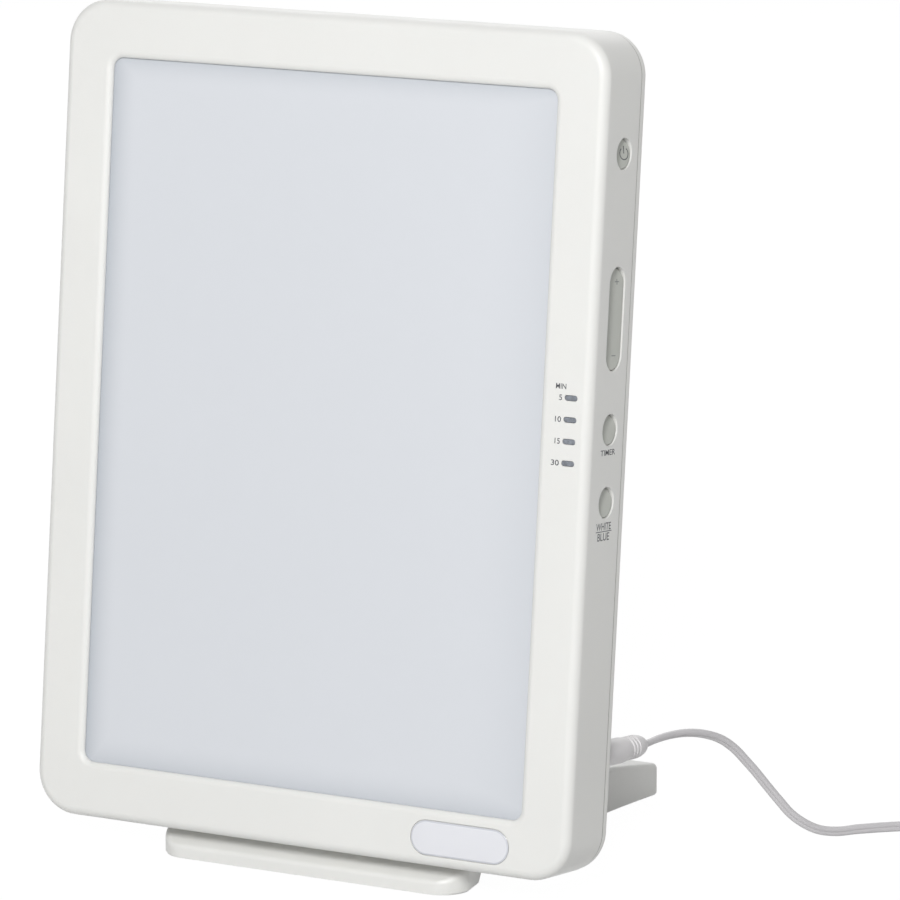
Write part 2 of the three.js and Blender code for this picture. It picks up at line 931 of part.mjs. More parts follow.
// Brightness rocker: a dished bar on a hub, with a stem over each switch
const rockerFace = halfWidth - buttonRecess;
const rockerBack = rockerFace - rockerPlate;
const rockerHalfWidth = rockerWidth / 2;
const rockerHalfLength = rockerLength / 2;
const rockerRings = [
  [0, rockerBack],
  [0, rockerFace - buttonEdge],
  [buttonEdge, rockerFace],
  ...rockerDishShares.map((share) => [
    rockerHalfWidth * share,
    rockerFace - rockerDish * share * (2 - share),
  ]),
].map(([inset, x]) =>
  outline(rockerHalfWidth - inset, rockerHalfLength - inset, rockerHalfWidth - inset).map(
    (p) => new THREE.Vector3(x, controlDepth + p.x, rockerZ + p.y),
  ),
);
const rockerHub = block(
  [pinX - earReach + seat / 3, rockerBack + blend],
  [slotNear + seat + seat, slotFar - seat - seat],
  [rockerZ - rockerHubHalf, rockerZ + rockerHubHalf],
);
const rockerStems = [-rockerStemOffset, rockerStemOffset].map((offset) =>
  rod(stemRadius, stemTip, rockerBack + blend, "x", [controlDepth, rockerZ + offset], smallSides),
);
const rockerSolid = cut(
  join(loft(rockerRings), rockerHub, ...rockerStems),
  rod(pinRadius + seat, slotNear, slotFar, "y", [pinX, rockerZ]),
);
panel.add(piece("brightness_rocker", rockerSolid, grey));
const pin = rod(pinRadius, slotNear - earThickness, slotFar + earThickness, "y", [pinX, rockerZ]);
panel.add(piece("rocker_pin", pin, steel));

// Minute indicators: lenses in the front wall, chips on a small board behind them
const lensNames = ["5", "10", "15", "30"];
indicatorPlaces.forEach((z, row) => {
  const lens = join(
    slab(
      pillWidth / 2 - seat,
      pillHeight / 2 - seat,
      pillRadius - seat,
      lensRecess,
      frontWall + seat + lensFlange / 2,
      indicatorX,
      z,
      smallSteps,
    ),
    slab(
      pillWidth / 2 + lensFlangeLip,
      pillHeight / 2 + lensFlangeLip,
      pillRadius,
      frontWall + seat,
      lensBack,
      indicatorX,
      z,
      smallSteps,
    ),
  );
  panel.add(piece(`indicator_lens_${lensNames[row]}`, lens, smoke));
});
const indicatorBottom = indicatorPlaces[3] - indicatorBoardMargin;
const indicatorTop = indicatorPlaces[0] + indicatorBoardMargin;
const indicatorBoard = block(
  [indicatorX - indicatorBoardWidth / 2, indicatorX + indicatorBoardWidth / 2],
  [indicatorBoardNear, indicatorBoardFar],
  [indicatorBottom, indicatorTop],
);
const indicatorChips = indicatorPlaces.map((z) =>
  block(
    [indicatorX - indicatorChip, indicatorX + indicatorChip],
    [lensBack + seat, indicatorBoardNear + indicatorBoardThickness / 2],
    [z - indicatorChip / 2, z + indicatorChip / 2],
  ),
);
panel.add(piece("indicator_board", join(indicatorBoard, ...indicatorChips), laminate));

// Badge: a clear domed stadium, left blank
const badgeRings = [
  [0, badgeRecess - seat],
  [0, badgeRecess - seat - badgeDome / 3],
  [badgeDome / 2, badgeRecess - seat - badgeDome * 0.7],
  [badgeDome * 1.6, badgeRecess - seat - badgeDome * 0.9],
  [badgeHeight / 3, badgeRecess - seat - badgeDome],
].map(([inset, depth]) =>
  ring(
    badgeWidth / 2 - inset,
    badgeHeight / 2 - inset,
    badgeHeight / 2 - inset,
    depth,
    badgeX,
    badgeZ,
  ),
);
panel.add(piece("badge_blank", loft(badgeRings), clear));

// Power jack in the cover, and the leads inside
const jackBody = block(
  [jackX - jackWidth / 2, jackX + jackWidth / 2],
  [jackFront, jackBack],
  [jackZ - jackHeight / 2, jackZ + jackHeight / 2],
);
const jackAxis = [jackX, jackZ];
const boreEnd = barrelTip - seat - jackPinTip * 2;
const jackSolid = join(
  cut(
    join(jackBody, rod(jackCollar, jackBack - blend, collarEnd, "y", jackAxis, roundSides)),
    rod(jackBore, boreEnd, collarEnd + overrun, "y", jackAxis, roundSides),
  ),
  rod(jackPin, boreEnd - blend, collarEnd - jackPinTip, "y", jackAxis),
);
panel.add(piece("dc_jack", jackSolid, black));

const vector = (point) => new THREE.Vector3(...point);
const leadDepth = driverFront - leadRadius - seat / 3;
const jackLeadPoints = [
  [jackX, leadDepth, jackZ - jackHeight / 2 - seat],
  [jackX, leadDepth, 34],
  [107, leadDepth, 28.5],
  [98, leadDepth, 32],
  [93, leadDepth, 42],
  [driverX + driverWidth / 2 + terminalSize, leadDepth, driverZ - terminalSize / 2],
  [driverX + driverWidth / 2 + seat, leadDepth, driverZ - terminalSize / 2],
].map(vector);
panel.add(piece("jack_lead", tube(jackLeadPoints, 2 * leadRadius, 13), black));

const outLeadX = driverX + driverWidth / 2 - terminalSize * 1.25;
const driverTop = driverZ + driverHeight / 2;
const controlLeadPoints = [
  [outLeadX, leadDepth, driverTop + seat],
  [outLeadX, leadDepth, driverTop + terminalSize],
  [80, leadDepth, 96],
  [90, leadDepth - leadRadius / 2, 114],
  [103, leadDepth - leadRadius, 122],
  [(boardInner + boardOuter) / 2, controlDepth, boardBottom - terminalSize],
  [(boardInner + boardOuter) / 2, controlDepth, boardBottom - seat],
].map(vector);
panel.add(piece("control_lead", tube(controlLeadPoints, 2 * leadRadius, 16), black));

// Plug: a moulded grip with a grooved neck and a domed end, round a metal barrel
const plugNeck = plugFace + plugGripLength;
const domeStart = plugNeck + plugTaper;
const plugEnd = domeStart + plugDome;
const plugGroovePitch = plugTaper / plugGrooveCount;
const plugGrooves = Array.from({ length: plugGrooveCount }, (_, i) => {
  const at = plugNeck + plugGroovePitch * (i + 1 / 2);
  const radius = THREE.MathUtils.mapLinear(at, plugNeck, domeStart, plugRadius, plugNeckRadius);
  return [
    [radius, at - plugGrooveWidth / 2],
    [radius - plugGrooveDepth, at - plugGrooveWidth / 4],
    [radius - plugGrooveDepth, at + plugGrooveWidth / 4],
    [radius, at + plugGrooveWidth / 2],
  ];
}).flat();
const tipAngle = Math.acos(plugTipRadius / plugNeckRadius);
const plugDomePoints = Array.from({ length: arcSteps + 1 }, (_, step) => {
  const angle = (tipAngle * step) / arcSteps;
  return [
    plugNeckRadius * Math.cos(angle),
    domeStart + (plugDome * Math.sin(angle)) / Math.sin(tipAngle),
  ];
});
const plugProfile = [
  [0, plugFace + barrelSocket],
  [jackBore, plugFace + barrelSocket],
  [jackBore, plugFace],
  [plugRadius - seat, plugFace],
  [plugRadius, plugFace + seat],
  [plugRadius, plugNeck],
  ...plugGrooves,
  ...plugDomePoints,
  [0, plugEnd],
];
panel.add(piece("plug_body", turned(plugProfile).translate(jackX, 0, jackZ), vinyl));
const barrelInner = barrelRadius - barrelWall;
const barrelProfile = [
  [barrelInner, barrelTip],
  [barrelRadius, barrelTip],
  [barrelRadius, plugFace + barrelSocket - seat],
  [barrelInner, plugFace + barrelSocket - seat],
  [barrelInner, barrelTip],
];
panel.add(piece("plug_barrel", turned(barrelProfile).translate(jackX, 0, jackZ), nickel));

// Stand

// Half the stand's width at a place from front to back, set in from the outside.
function planHalf(y, inset) {
  const near = y < waistY;
  const run = near ? waistY - toeFront - toeCornerRadius : standRear - waistY;
  const flare = (near ? toeHalfWidth : rearHalfWidth) - waistHalfWidth;
  const share = Math.min(Math.abs(y - waistY) / run, 1);
  const radius = (near ? toeCornerRadius : rearCornerRadius) - inset;
  const fromEnd = near ? y - toeFront - inset : standRear - inset - y;
  const short = Math.max(radius - fromEnd, 0);
  const corner = radius - Math.sqrt(Math.max(radius ** 2 - short ** 2, 0));
  return waistHalfWidth + flare * share ** 2 - inset - corner;
}

// Height of the stand's top: the toe's face, edge and slope, then the crown to the rear.
function crownAt(y) {
  const slope = THREE.MathUtils.degToRad(toeSlopeDegrees);
  const edgeEnd = toeFront + toeEdge * (1 - Math.sin(slope));
  const short = toeEdge - (y - toeFront);
  if (y < edgeEnd) return padProud + toeFace + Math.sqrt(Math.max(toeEdge ** 2 - short ** 2, 0));
  const edgeTop = padProud + toeFace + toeEdge * Math.cos(slope);
  const slopeTop = edgeTop + (saddleFront - edgeEnd) * Math.tan(slope);
  if (y <= saddleFront) return edgeTop + (y - edgeEnd) * Math.tan(slope);
  if (y < saddleFront + hubRamp) {
    return slopeTop + ((hubTop - slopeTop) * (y - saddleFront)) / hubRamp;
  }
  const share = Math.max(y - crownFront, 0) / (standRear - crownFront);
  const shortRear = Math.max(rearEdge - (standRear - y), 0);
  const round = rearEdge - Math.sqrt(Math.max(rearEdge ** 2 - shortRear ** 2, 0));
  return hubTop - (hubTop - rearHeight) * share ** 2 - round;
}

// The inner roof stays a wall below the top and below the panel's seat.
function roofAt(y) {
  const saddle = panelLift - seat - y * Math.tan(tilt);
  return (y < neckRear ? Math.min(crownAt(y), saddle) : crownAt(y)) - standWall;
}

// A section across the stand: bevelled below, rounded at its upper corners.
function standSection(y, inset, bottom, top) {
  const half = planHalf(y, inset);
  const bevel = inset > 0 ? 0 : bottomEdge;
  const radius = Math.min(Math.max(sideEdge - inset, seat), (top - bottom) / 2);
  const right = Array.from({ length: arcSteps + 1 }, (_, step) => {
    const angle = ((Math.PI / 2) * step) / arcSteps;
    return [half - radius * (1 - Math.cos(angle)), top - radius * (1 - Math.sin(angle))];
  });
  const side = [[half - bevel, bottom], [half, bottom + bevel], ...right];
  const mirrored = side.map(([x, z]) => [-x, z]).reverse();
  return [...side, ...mirrored].map(([x, z]) => new THREE.Vector3(x, y, z));
}

const frontStationShares = [0, 0.015, 0.05, 0.12, 0.22, 0.38, 0.6, 0.8, 1];
const rearStationShares = [1, 0.7, 0.45, 0.25, 0.1, 0.03, 0];
const bodySteps = 9;

function stations(inset) {
  const front = toeFront + inset;
  const rear = standRear - inset;
  const bodyFront = saddleFront + hubRamp;
  const bodyRear = rear - rearCornerRadius;
  return [
    ...frontStationShares.map((share) => front + (toeCornerRadius - inset) * share),
    saddleFront,
    bodyFront,
    ...Array.from({ length: bodySteps }, (_, i) =>
      bodyFront + ((bodyRear - bodyFront) * (i + 1)) / (bodySteps + 1),
    ),
    ...rearStationShares.map((share) => rear - (rearCornerRadius - inset) * share),
  ];
}

const standOuter = loft(
  stations(0).map((y) => standSection(y, 0, padProud, crownAt(y))),
);
const standInner = loft(
  stations(standWall).map((y) => standSection(y, standWall, -overrun, roofAt(y))),
);

// A side profile of [Y, Z] made into a block across the whole stand.
function across(shape, half) {
  const geometry = new THREE.ExtrudeGeometry(shape, {
    depth: 2 * half,
    bevelEnabled: false,
    curveSegments: cornerSteps,
  });
  const turn = new THREE.Matrix4().makeBasis(
    new THREE.Vector3(0, 1, 0),
    new THREE.Vector3(0, 0, 1),
    new THREE.Vector3(1, 0, 0),
  );
  return geometry.applyMatrix4(turn).translate(-half, 0, 0);
}

const archTop = padProud + archRise;
const arch = new THREE.Shape();
arch.moveTo(archFront, -overrun);
arch.lineTo(archFront, padProud);
arch.lineTo(archFront + archFrontRun * archBendShare, padProud + archRise * archBendShare);
arch.quadraticCurveTo(
  archFront + archFrontRun,
  archTop,
  archFront + archFrontRun * archEaseShare,
  archTop,
);
arch.lineTo(archRear - archRearRun, archTop);
arch.quadraticCurveTo(archRear - archRearRun * (1 - archBendShare), archTop, archRear, padProud);
arch.lineTo(archRear, -overrun);
arch.closePath();

// Ribs, the solid neck under the panel and the bosses over the pads
const wide = toeHalfWidth + overrun;
const ribSpan = standRear - standWall - neckRear;
const crossRibs = Array.from({ length: ribCount }, (_, i) => {
  const y = neckRear + (ribSpan * (i + 1)) / (ribCount + 1);
  return block(
    [-wide, wide],
    [y - ribThickness / 2, y + ribThickness / 2],
    [-2 * overrun, hubTop],
  );
});
const longRibs = longRibShares.map((share) =>
  block(
    [
      waistHalfWidth * share - ribThickness / 2,
      waistHalfWidth * share + ribThickness / 2,
    ],
    [0, standRear],
    [-2 * overrun, hubTop],
  ),
);
const neck = block([-wide, wide], [neckFront, neckRear], [-2 * overrun, hubTop]);
const padPlaces = [frontPadY, standRear - rearPadInset].flatMap((y) => [
  [-padX, y],
  [padX, y],
]);
const padBosses = padPlaces.map((place) =>
  rod(padBoss, -2 * overrun, hubTop, "z", place, smallSides),
);
const padHoles = padPlaces.map((place) =>
  rod(padRadius + seat, -overrun, padHeight + seat, "z", place, roundSides),
);
const standPockets = cut(standInner, ...crossRibs, ...longRibs, neck, ...padBosses);

// The panel stands in a seat cut to its leaned outline; the tongue rises behind it
const panelSeat = block(
  [-halfWidth, halfWidth],
  [-panelDepth, panelDepth + seat],
  [-seat, panelHeight],
).applyMatrix4(lean);
const tongueBottom = socketBottom - tongueRoot;
const tongue = slab(
  tongueWidth / 2,
  (tongueTop - tongueBottom) / 2,
  tongueRadius,
  tongueNear,
  tongueFar,
  0,
  (tongueTop + tongueBottom) / 2,
).applyMatrix4(lean);
const standSolid = cut(
  join(cut(standOuter, panelSeat, across(arch, wide), standPockets), tongue),
  ...padHoles,
);
ground.add(piece("stand_base", standSolid, standWhite));

const padProfile = [
  [0, 0],
  [padRadius - seat, 0],
  [padRadius, seat],
  [padRadius, padHeight],
  [0, padHeight],
];
const padNames = ["front_left", "front_right", "rear_left", "rear_right"];
padPlaces.forEach(([x, y], i) => {
  const pad = turned(padProfile, "z").translate(x, y, 0);
  ground.add(piece(`foot_pad_${padNames[i]}`, pad, rubber));
});

// Lead from the plug to the coil
const leaned = (x, y, z) => new THREE.Vector3(x, y, z).applyMatrix4(lean);
const coilStartX = coilX - leadDiameter;
const coilBase = coilLift + leadDiameter / 2;
const leadRoute = [
  [114.5, 92, 52],
  [116, 102, 51.8],
  [118.6, 111.7, 50.9],
  [121.7, 120.5, 48.8],
  [125, 128.2, 45.5],
  [128.2, 134.2, 40.7],
  [131.1, 138.6, 35.2],
  [134.2, 142.4, 29.6],
  [137.3, 145.7, 23.9],
  [141, 149.2, 17.6],
  [145, 153, 11.2],
  [149.4, 157.2, 6.6],
  [153.5, 161.6, 3.7],
  [158.6, 167.7, 2.2],
  [164.7, 175.1, 2.2],
  [172, 182.4, 2.2],
  [181, 189.4, 2.3],
  [191, 194.4, 2.5],
  [202, 197.9, 2.9],
  [213, 199.2, 3.2],
];
const leadPoints = [
  leaned(jackX, plugEnd + seat, jackZ),
  leaned(jackX, plugEnd + seat + leadDiameter, jackZ),
  ...leadRoute.map(vector),
  new THREE.Vector3(coilStartX - seat - leadDiameter, coilY + coilRadius, coilBase),
  new THREE.Vector3(coilStartX - seat, coilY + coilRadius, coilBase),
];
const leadSteps = 24;
cords.add(piece("cord_lead", tube(leadPoints, leadDiameter, leadSteps), vinyl));

// Coil: the lead spirals in and out again in layers, climbing where the spiral turns back
const layerTurns = coilTurns / coilLayers;

function coilPoint(turn) {
  const layer = Math.min(Math.floor(turn / layerTurns), coilLayers - 1);
  const within = turn - layer * layerTurns;
  const inward = layer % 2 === 0 ? within : layerTurns - within;
  const radius = coilRadius - coilPitch * inward;
  let climbs = 0;
  for (let k = 1; k < coilLayers; k += 1) {
    climbs += THREE.MathUtils.smoothstep((turn - k * layerTurns) * 2, -1 / 2, 1 / 2);
  }
  const angle = Math.PI / 2 - 2 * Math.PI * turn;
  return new THREE.Vector3(
    coilX + radius * Math.cos(angle),
    coilY + radius * Math.sin(angle),
    coilBase + coilPitch * climbs,
  );
}

const loopSteps = 24;
const loopSides = 6;
const coilSteps = Math.round(coilTurns * loopSteps);
const coilEnd = coilPoint(coilTurns);
const coilPath = [
  new THREE.Vector3(coilStartX, coilY + coilRadius, coilBase),
  ...Array.from({ length: coilSteps + 1 }, (_, i) => coilPoint((coilTurns * i) / coilSteps)),
  coilEnd.clone().setY(coilEnd.y - coilTail),
];

// A tube with a ring square to the path at each of its points.
function woundTube(path, radius, sides) {
  const up = new THREE.Vector3(0, 0, 1);
  const rings = path.map((point, i) => {
    const before = path[Math.max(i - 1, 0)];
    const after = path[Math.min(i + 1, path.length - 1)];
    const along = new THREE.Vector3().subVectors(after, before).normalize();
    const out = new THREE.Vector3().crossVectors(along, up).normalize();
    const over = new THREE.Vector3().crossVectors(out, along);
    return Array.from({ length: sides }, (_, k) => {
      const angle = (2 * Math.PI * (k + 1 / 2)) / sides;
      return point
        .clone()
        .addScaledVector(out, radius * Math.cos(angle))
        .addScaledVector(over, radius * Math.sin(angle));
    });
  });
  return loft(rings);
}

// Least gap between runs of the tube that lie more than half a loop apart on its path.
function leastGap(path, diameter) {
  let least = Infinity;
  const apart = loopSteps / 2;
  path.forEach((point, i) => {
    for (let k = i + apart; k < path.length - 1; k += 1) {
      const step = new THREE.Line3(path[k], path[k + 1]);
      const near = step.closestPointToPoint(point, true, new THREE.Vector3());
      least = Math.min(least, near.distanceTo(point) - diameter);
    }
  });
  return least;
}

console.log(`cord_coil: least gap to itself ${leastGap(coilPath, leadDiameter).toFixed(2)} mm`);
cords.add(piece("cord_coil", woundTube(coilPath, leadDiameter / 2, loopSides), vinyl));

// Tie round the coil's section on the side towards the lamp
const coilInnerRadius = coilRadius - coilPitch * layerTurns;
const bundleHalfWidth = (coilRadius - coilInnerRadius + leadDiameter) / 2;
const bundleHalfHeight = ((coilLayers - 1) * coilPitch + leadDiameter) / 2;
const tieX = coilX - (coilRadius + coilInnerRadius) / 2;
const tieZ = coilLift + bundleHalfHeight;
const tieBand = (grow) =>
  slab(
    bundleHalfWidth + grow,
    bundleHalfHeight + grow,
    grow,
    coilY - tieWidth / 2,
    coilY + tieWidth / 2,
    tieX,
    tieZ,
  );
const tieHole = slab(
  bundleHalfWidth + tieClearance,
  bundleHalfHeight + tieClearance,
  tieClearance,
  coilY - tieWidth,
  coilY + tieWidth,
  tieX,
  tieZ,
);
cords.add(piece("coil_tie", cut(tieBand(tieClearance + tieThickness), tieHole), black));

// Wall adapter, on its face with the blades up
const reliefEnd = coilEnd.y - coilTail - seat;
const reliefProfile = [
  [0, 0],
  [reliefRadius, 0],
  [reliefRadius, reliefLength / 4],
  [reliefTipRadius, reliefLength],
  [0, reliefLength],
];
const relief = turned(reliefProfile, "y", smallSides).translate(
  coilEnd.x,
  reliefEnd - reliefLength,
  coilEnd.z,
);
cords.add(piece("adapter_relief", relief, black));

const adapterRear = reliefEnd - reliefLength - seat;
const adapterMiddle = adapterRear - adapterLength / 2;
const adapterRings = [
  [adapterRound, 0],
  [adapterRound / 4, adapterRound / 4],
  [0, adapterRound],
  [0, adapterHeight - adapterRound / 2],
  [adapterRound / 4, adapterHeight],
].map(([inset, z]) =>
  outline(adapterWidth / 2 - inset, adapterLength / 2 - inset, adapterRound).map(
    (p) => new THREE.Vector3(coilEnd.x + p.x, adapterMiddle + p.y, z),
  ),
);
cords.add(piece("wall_adapter", loft(adapterRings), black));

["left", "right"].forEach((side, i) => {
  const x = coilEnd.x + (i - 1 / 2) * bladeSpacing;
  const blade = block(
    [x - bladeThickness / 2, x + bladeThickness / 2],
    [adapterMiddle - bladeWidth / 2, adapterMiddle + bladeWidth / 2],
    [adapterHeight + seat, adapterHeight + seat + bladeLength],
  );
  cords.add(piece(`adapter_blade_${side}`, blade, brass));
});

// The panel leans back on the stand, and the origin is under the middle of the lamp
panel.rotation.x = -tilt;
panel.position.z = panelLift;
const lamp = new THREE.Group();
lamp.add(panel, ground);
lamp.updateMatrixWorld(true);
const extent = new THREE.Box3().setFromObject(lamp, true);
const placed = new THREE.Group();
placed.add(lamp, cords);
placed.position.y = -(extent.min.y + extent.max.y) / 2;
const root = new THREE.Group();
root.add(placed);

export default root;
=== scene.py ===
"""Looks of a tabletop light therapy lamp: a flat lit panel that leans back on a moulded stand.

Every form is written in millimetres. Panel forms use the panel's own frame: x to the right,
y into the panel from its front face, z up from its lower edge. Other forms use the bench frame:
x to the right, y to the back, z up from the table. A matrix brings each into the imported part's
frame, in metres.
"""

from __future__ import annotations

import json
import logging
import math
from collections.abc import Callable, Iterable, Sequence
from dataclasses import dataclass
from enum import Enum

import bmesh
import bpy
from mathutils import Matrix, Vector

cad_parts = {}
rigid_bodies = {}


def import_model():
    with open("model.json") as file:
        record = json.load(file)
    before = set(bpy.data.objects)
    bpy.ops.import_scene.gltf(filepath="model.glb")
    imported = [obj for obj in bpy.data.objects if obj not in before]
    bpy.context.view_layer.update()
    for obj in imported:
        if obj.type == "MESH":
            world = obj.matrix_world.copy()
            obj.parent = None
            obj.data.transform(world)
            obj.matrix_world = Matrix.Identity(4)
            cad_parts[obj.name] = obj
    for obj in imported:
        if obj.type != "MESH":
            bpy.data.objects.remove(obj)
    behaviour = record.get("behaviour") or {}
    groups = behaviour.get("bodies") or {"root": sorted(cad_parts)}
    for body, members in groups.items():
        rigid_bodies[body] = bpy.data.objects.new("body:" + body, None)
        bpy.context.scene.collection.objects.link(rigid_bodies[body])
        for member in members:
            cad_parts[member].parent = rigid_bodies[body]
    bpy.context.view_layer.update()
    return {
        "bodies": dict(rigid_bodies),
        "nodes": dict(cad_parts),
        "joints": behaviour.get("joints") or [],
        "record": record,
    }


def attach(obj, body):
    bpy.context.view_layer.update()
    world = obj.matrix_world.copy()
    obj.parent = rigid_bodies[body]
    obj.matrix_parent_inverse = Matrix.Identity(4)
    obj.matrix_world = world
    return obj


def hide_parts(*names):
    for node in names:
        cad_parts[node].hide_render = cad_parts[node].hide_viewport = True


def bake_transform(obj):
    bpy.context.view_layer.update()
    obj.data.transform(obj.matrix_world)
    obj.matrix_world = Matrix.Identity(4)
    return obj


log = logging.getLogger("lamp")

Mesh = bpy.types.Mesh
Node = bpy.types.Node
Socket = bpy.types.NodeSocket
Piece = bpy.types.Object
Ring = list[Vector]
Place = tuple[float, float]
Spot = tuple[float, float, float]
Colour = tuple[float, float, float]

MM = 0.001

# The panel leans back by TILT, its lower edge lies PANEL_LIFT above the table, and the part's
# origin lies ORIGIN_Y behind the bench frame's.
TILT = math.radians(5.79)
PANEL_LIFT = 14.0
ORIGIN_Y = 97.0927

# A cutter reaches OVERRUN past what it opens, an added solid sinks ROOT into its wall, and SEAT
# is the play between pieces that seat on each other.
OVERRUN = 1.0
ROOT = 0.6
SEAT = 0.3

# Sizes and labels of the panel that more than one piece or finish follows.
PANEL_HEIGHT = 330.0
WINDOW_HALF = (100.5, 142.3)
BADGE_HALF = (21.7, 6.8)
BADGE_CENTRE = (74.5, 11.5)
JACK = (114.0, 46.2)
MINUTES = ("5", "10", "15", "30")

BENCH = Matrix.Scale(MM, 4) @ Matrix.Translation((0.0, -ORIGIN_Y, 0.0))
LEAN = Matrix.Translation((0.0, 0.0, PANEL_LIFT)) @ Matrix.Rotation(-TILT, 4, "X")
PANEL = BENCH @ LEAN


class Body(Enum):
    """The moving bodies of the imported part."""

    PANEL = "panel"
    STAND = "stand"
    POWER = "power_button"
    TIMER = "timer_button"
    COLOUR = "colour_button"
    ROCKER = "rocker"


class Slot(Enum):
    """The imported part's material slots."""

    HOUSING = "housing_white"
    STAND = "stand_white"
    CONTROL = "control_grey"
    LENS = "lens_smoke"
    BADGE = "badge_clear"
    BLACK = "black_plastic"
    STEEL = "steel"
    LEAD = "lead_vinyl"
    BRASS = "brass"


class Operation(Enum):
    """The ways in which two solids combine."""

    CUT = "DIFFERENCE"
    JOIN = "UNION"


class Axis(Enum):
    """The axes that forms are built square to, or turned about."""

    X = "x"
    Y = "y"
    Z = "z"


# Meshes


def point_at(axis: Axis, along: float, u: float, v: float) -> Vector:
    """A point from its place along an axis and along the other two."""
    return Vector({Axis.X: (along, u, v), Axis.Y: (u, along, v), Axis.Z: (u, v, along)}[axis])


@dataclass(frozen=True)
class Outline:
    """A rounded rectangle square to an axis, with its sizes along the other two axes."""

    axis: Axis
    half: Place
    radius: float
    centre: Place
    steps: int = 16

    def ring(self, along: float, grow: float = 0.0) -> Ring:
        """The outline at a place along its axis.

        Args:
            along: The place.
            grow: How far the outline grows outwards.

        Returns:
            The ring's points.
        """
        a, b = self.centre
        radius = self.radius + grow
        run_u, run_v = (half + grow - radius for half in self.half)
        points = []
        for corner, (u, v) in enumerate(((1, 1), (-1, 1), (-1, -1), (1, -1))):
            for step in range(self.steps + 1):
                angle = math.pi / 2 * (corner + step / self.steps)
                across = u * run_u + radius * math.cos(angle)
                upwards = v * run_v + radius * math.sin(angle)
                points.append(point_at(self.axis, along, a + across, b + upwards))
        return points


def loft(rings: Sequence[Ring], closed: bool = False) -> Mesh:
    """A surface through rings of equally many points, capped at both ends or closed on itself.

    Args:
        rings: The rings, in order.
        closed: True if the last ring joins the first one.

    Returns:
        A mesh whose faces point outwards.
    """
    shape = bmesh.new()
    rows = [[shape.verts.new(point) for point in ring] for ring in rings]
    count = len(rows[0])
    bands = len(rows) if closed else len(rows) - 1
    for band in range(bands):
        near, far = rows[band], rows[(band + 1) % len(rows)]
        for i in range(count):
            k = (i + 1) % count
            shape.faces.new((near[i], near[k], far[k], far[i]))
    if not closed:
        shape.faces.new(reversed(rows[0]))
        shape.faces.new(rows[-1])
    return mesh_from(shape)


def mesh_from(shape: bmesh.types.BMesh) -> Mesh:
    """A mesh from a bmesh, cleaned and with its faces pointing outwards.

    Args:
        shape: The bmesh, which is freed.

    Returns:
        The mesh.
    """
    bmesh.ops.remove_doubles(shape, verts=shape.verts, dist=1e-5)
    bmesh.ops.dissolve_degenerate(shape, edges=shape.edges, dist=1e-5)
    bmesh.ops.recalc_face_normals(shape, faces=shape.faces)
    mesh = bpy.data.meshes.new("form")
    shape.to_mesh(mesh)
    shape.free()
    return mesh


def merged(meshes: Iterable[Mesh]) -> Mesh:
    """Several meshes as one, with no boolean between them.

    Args:
        meshes: The meshes.

    Returns:
        One mesh that holds them all.
    """
    shape = bmesh.new()
    for mesh in meshes:
        shape.from_mesh(mesh)
    together = bpy.data.meshes.new("form")
    shape.to_mesh(together)
    shape.free()
    return together


def combine(base: Mesh, tool: Mesh, operation: Operation) -> Mesh:
    """One exact boolean between two meshes.

    Args:
        base: The mesh that is worked on.
        tool: The mesh that cuts it or is joined to it.
        operation: What is done.

    Returns:
        The result.
    """
    host, other = (bpy.data.objects.new("form", mesh) for mesh in (base, tool))
    for thing in (host, other):
        bpy.context.scene.collection.objects.link(thing)
    boolean = host.modifiers.new("boolean", "BOOLEAN")
    boolean.operation = operation.value
    boolean.solver = "EXACT"
    boolean.object = other
    graph = bpy.context.evaluated_depsgraph_get()
    result = bpy.data.meshes.new_from_object(host.evaluated_get(graph))
    for thing in (host, other):
        bpy.data.objects.remove(thing)
    shape = bmesh.new()
    shape.from_mesh(result)
    return mesh_from(shape)


def turned(profile: Sequence[Place], axis: Axis, place: Place, sides: int = 48) -> Mesh:
    """A profile turned about an axis.

    Args:
        profile: Pairs of radius and place along the axis; both ends lie on the axis, or the
            last pair repeats the first one.
        axis: The axis.
        place: Where the axis crosses the other two directions.
        sides: Sides of the turned form.

    Returns:
        The mesh.
    """
    shape = bmesh.new()
    u, v = place
    rows = []
    for radius, along in profile:
        row = []
        for side in range(sides):
            angle = 2 * math.pi * side / sides
            a, b = u + radius * math.cos(angle), v + radius * math.sin(angle)
            row.append(shape.verts.new(point_at(axis, along, a, b)))
        rows.append(row)
    for near, far in zip(rows, rows[1:]):
        for i in range(sides):
            k = (i + 1) % sides
            shape.faces.new((near[i], near[k], far[k], far[i]))
    return mesh_from(shape)


def rod(radius: float, start: float, end: float, axis: Axis, place: Place, sides: int = 32) -> Mesh:
    """A round bar.

    Args:
        radius: Its radius.
        start: Where it starts along its axis.
        end: Where it ends.
        axis: Its axis.
        place: Where the axis crosses the other two directions.
        sides: Its sides.

    Returns:
        The mesh.
    """
    return turned([(0, start), (radius, start), (radius, end), (0, end)], axis, place, sides)


def block(x: Place, y: Place, z: Place) -> Mesh:
    """A block between two places along each axis.

    Args:
        x: Its two places along X.
        y: Its two places along Y.
        z: Its two places along Z.

    Returns:
        The mesh.
    """
    rings = [
        [Vector((a, b, c)) for a, b in ((x[0], y[0]), (x[1], y[0]), (x[1], y[1]), (x[0], y[1]))]
        for c in z
    ]
    return loft(rings)


def quarter(radius: float, steps: int) -> list[Place]:
    """A quarter round as pairs of inset and set-back, from the side to the face.

    Args:
        radius: Its radius.
        steps: Its steps.

    Returns:
        The pairs, from (0, radius) to (radius, 0).
    """
    angles = [math.pi / 2 * step / steps for step in range(steps + 1)]
    return [(radius * (1 - math.cos(a)), radius * (1 - math.sin(a))) for a in angles]


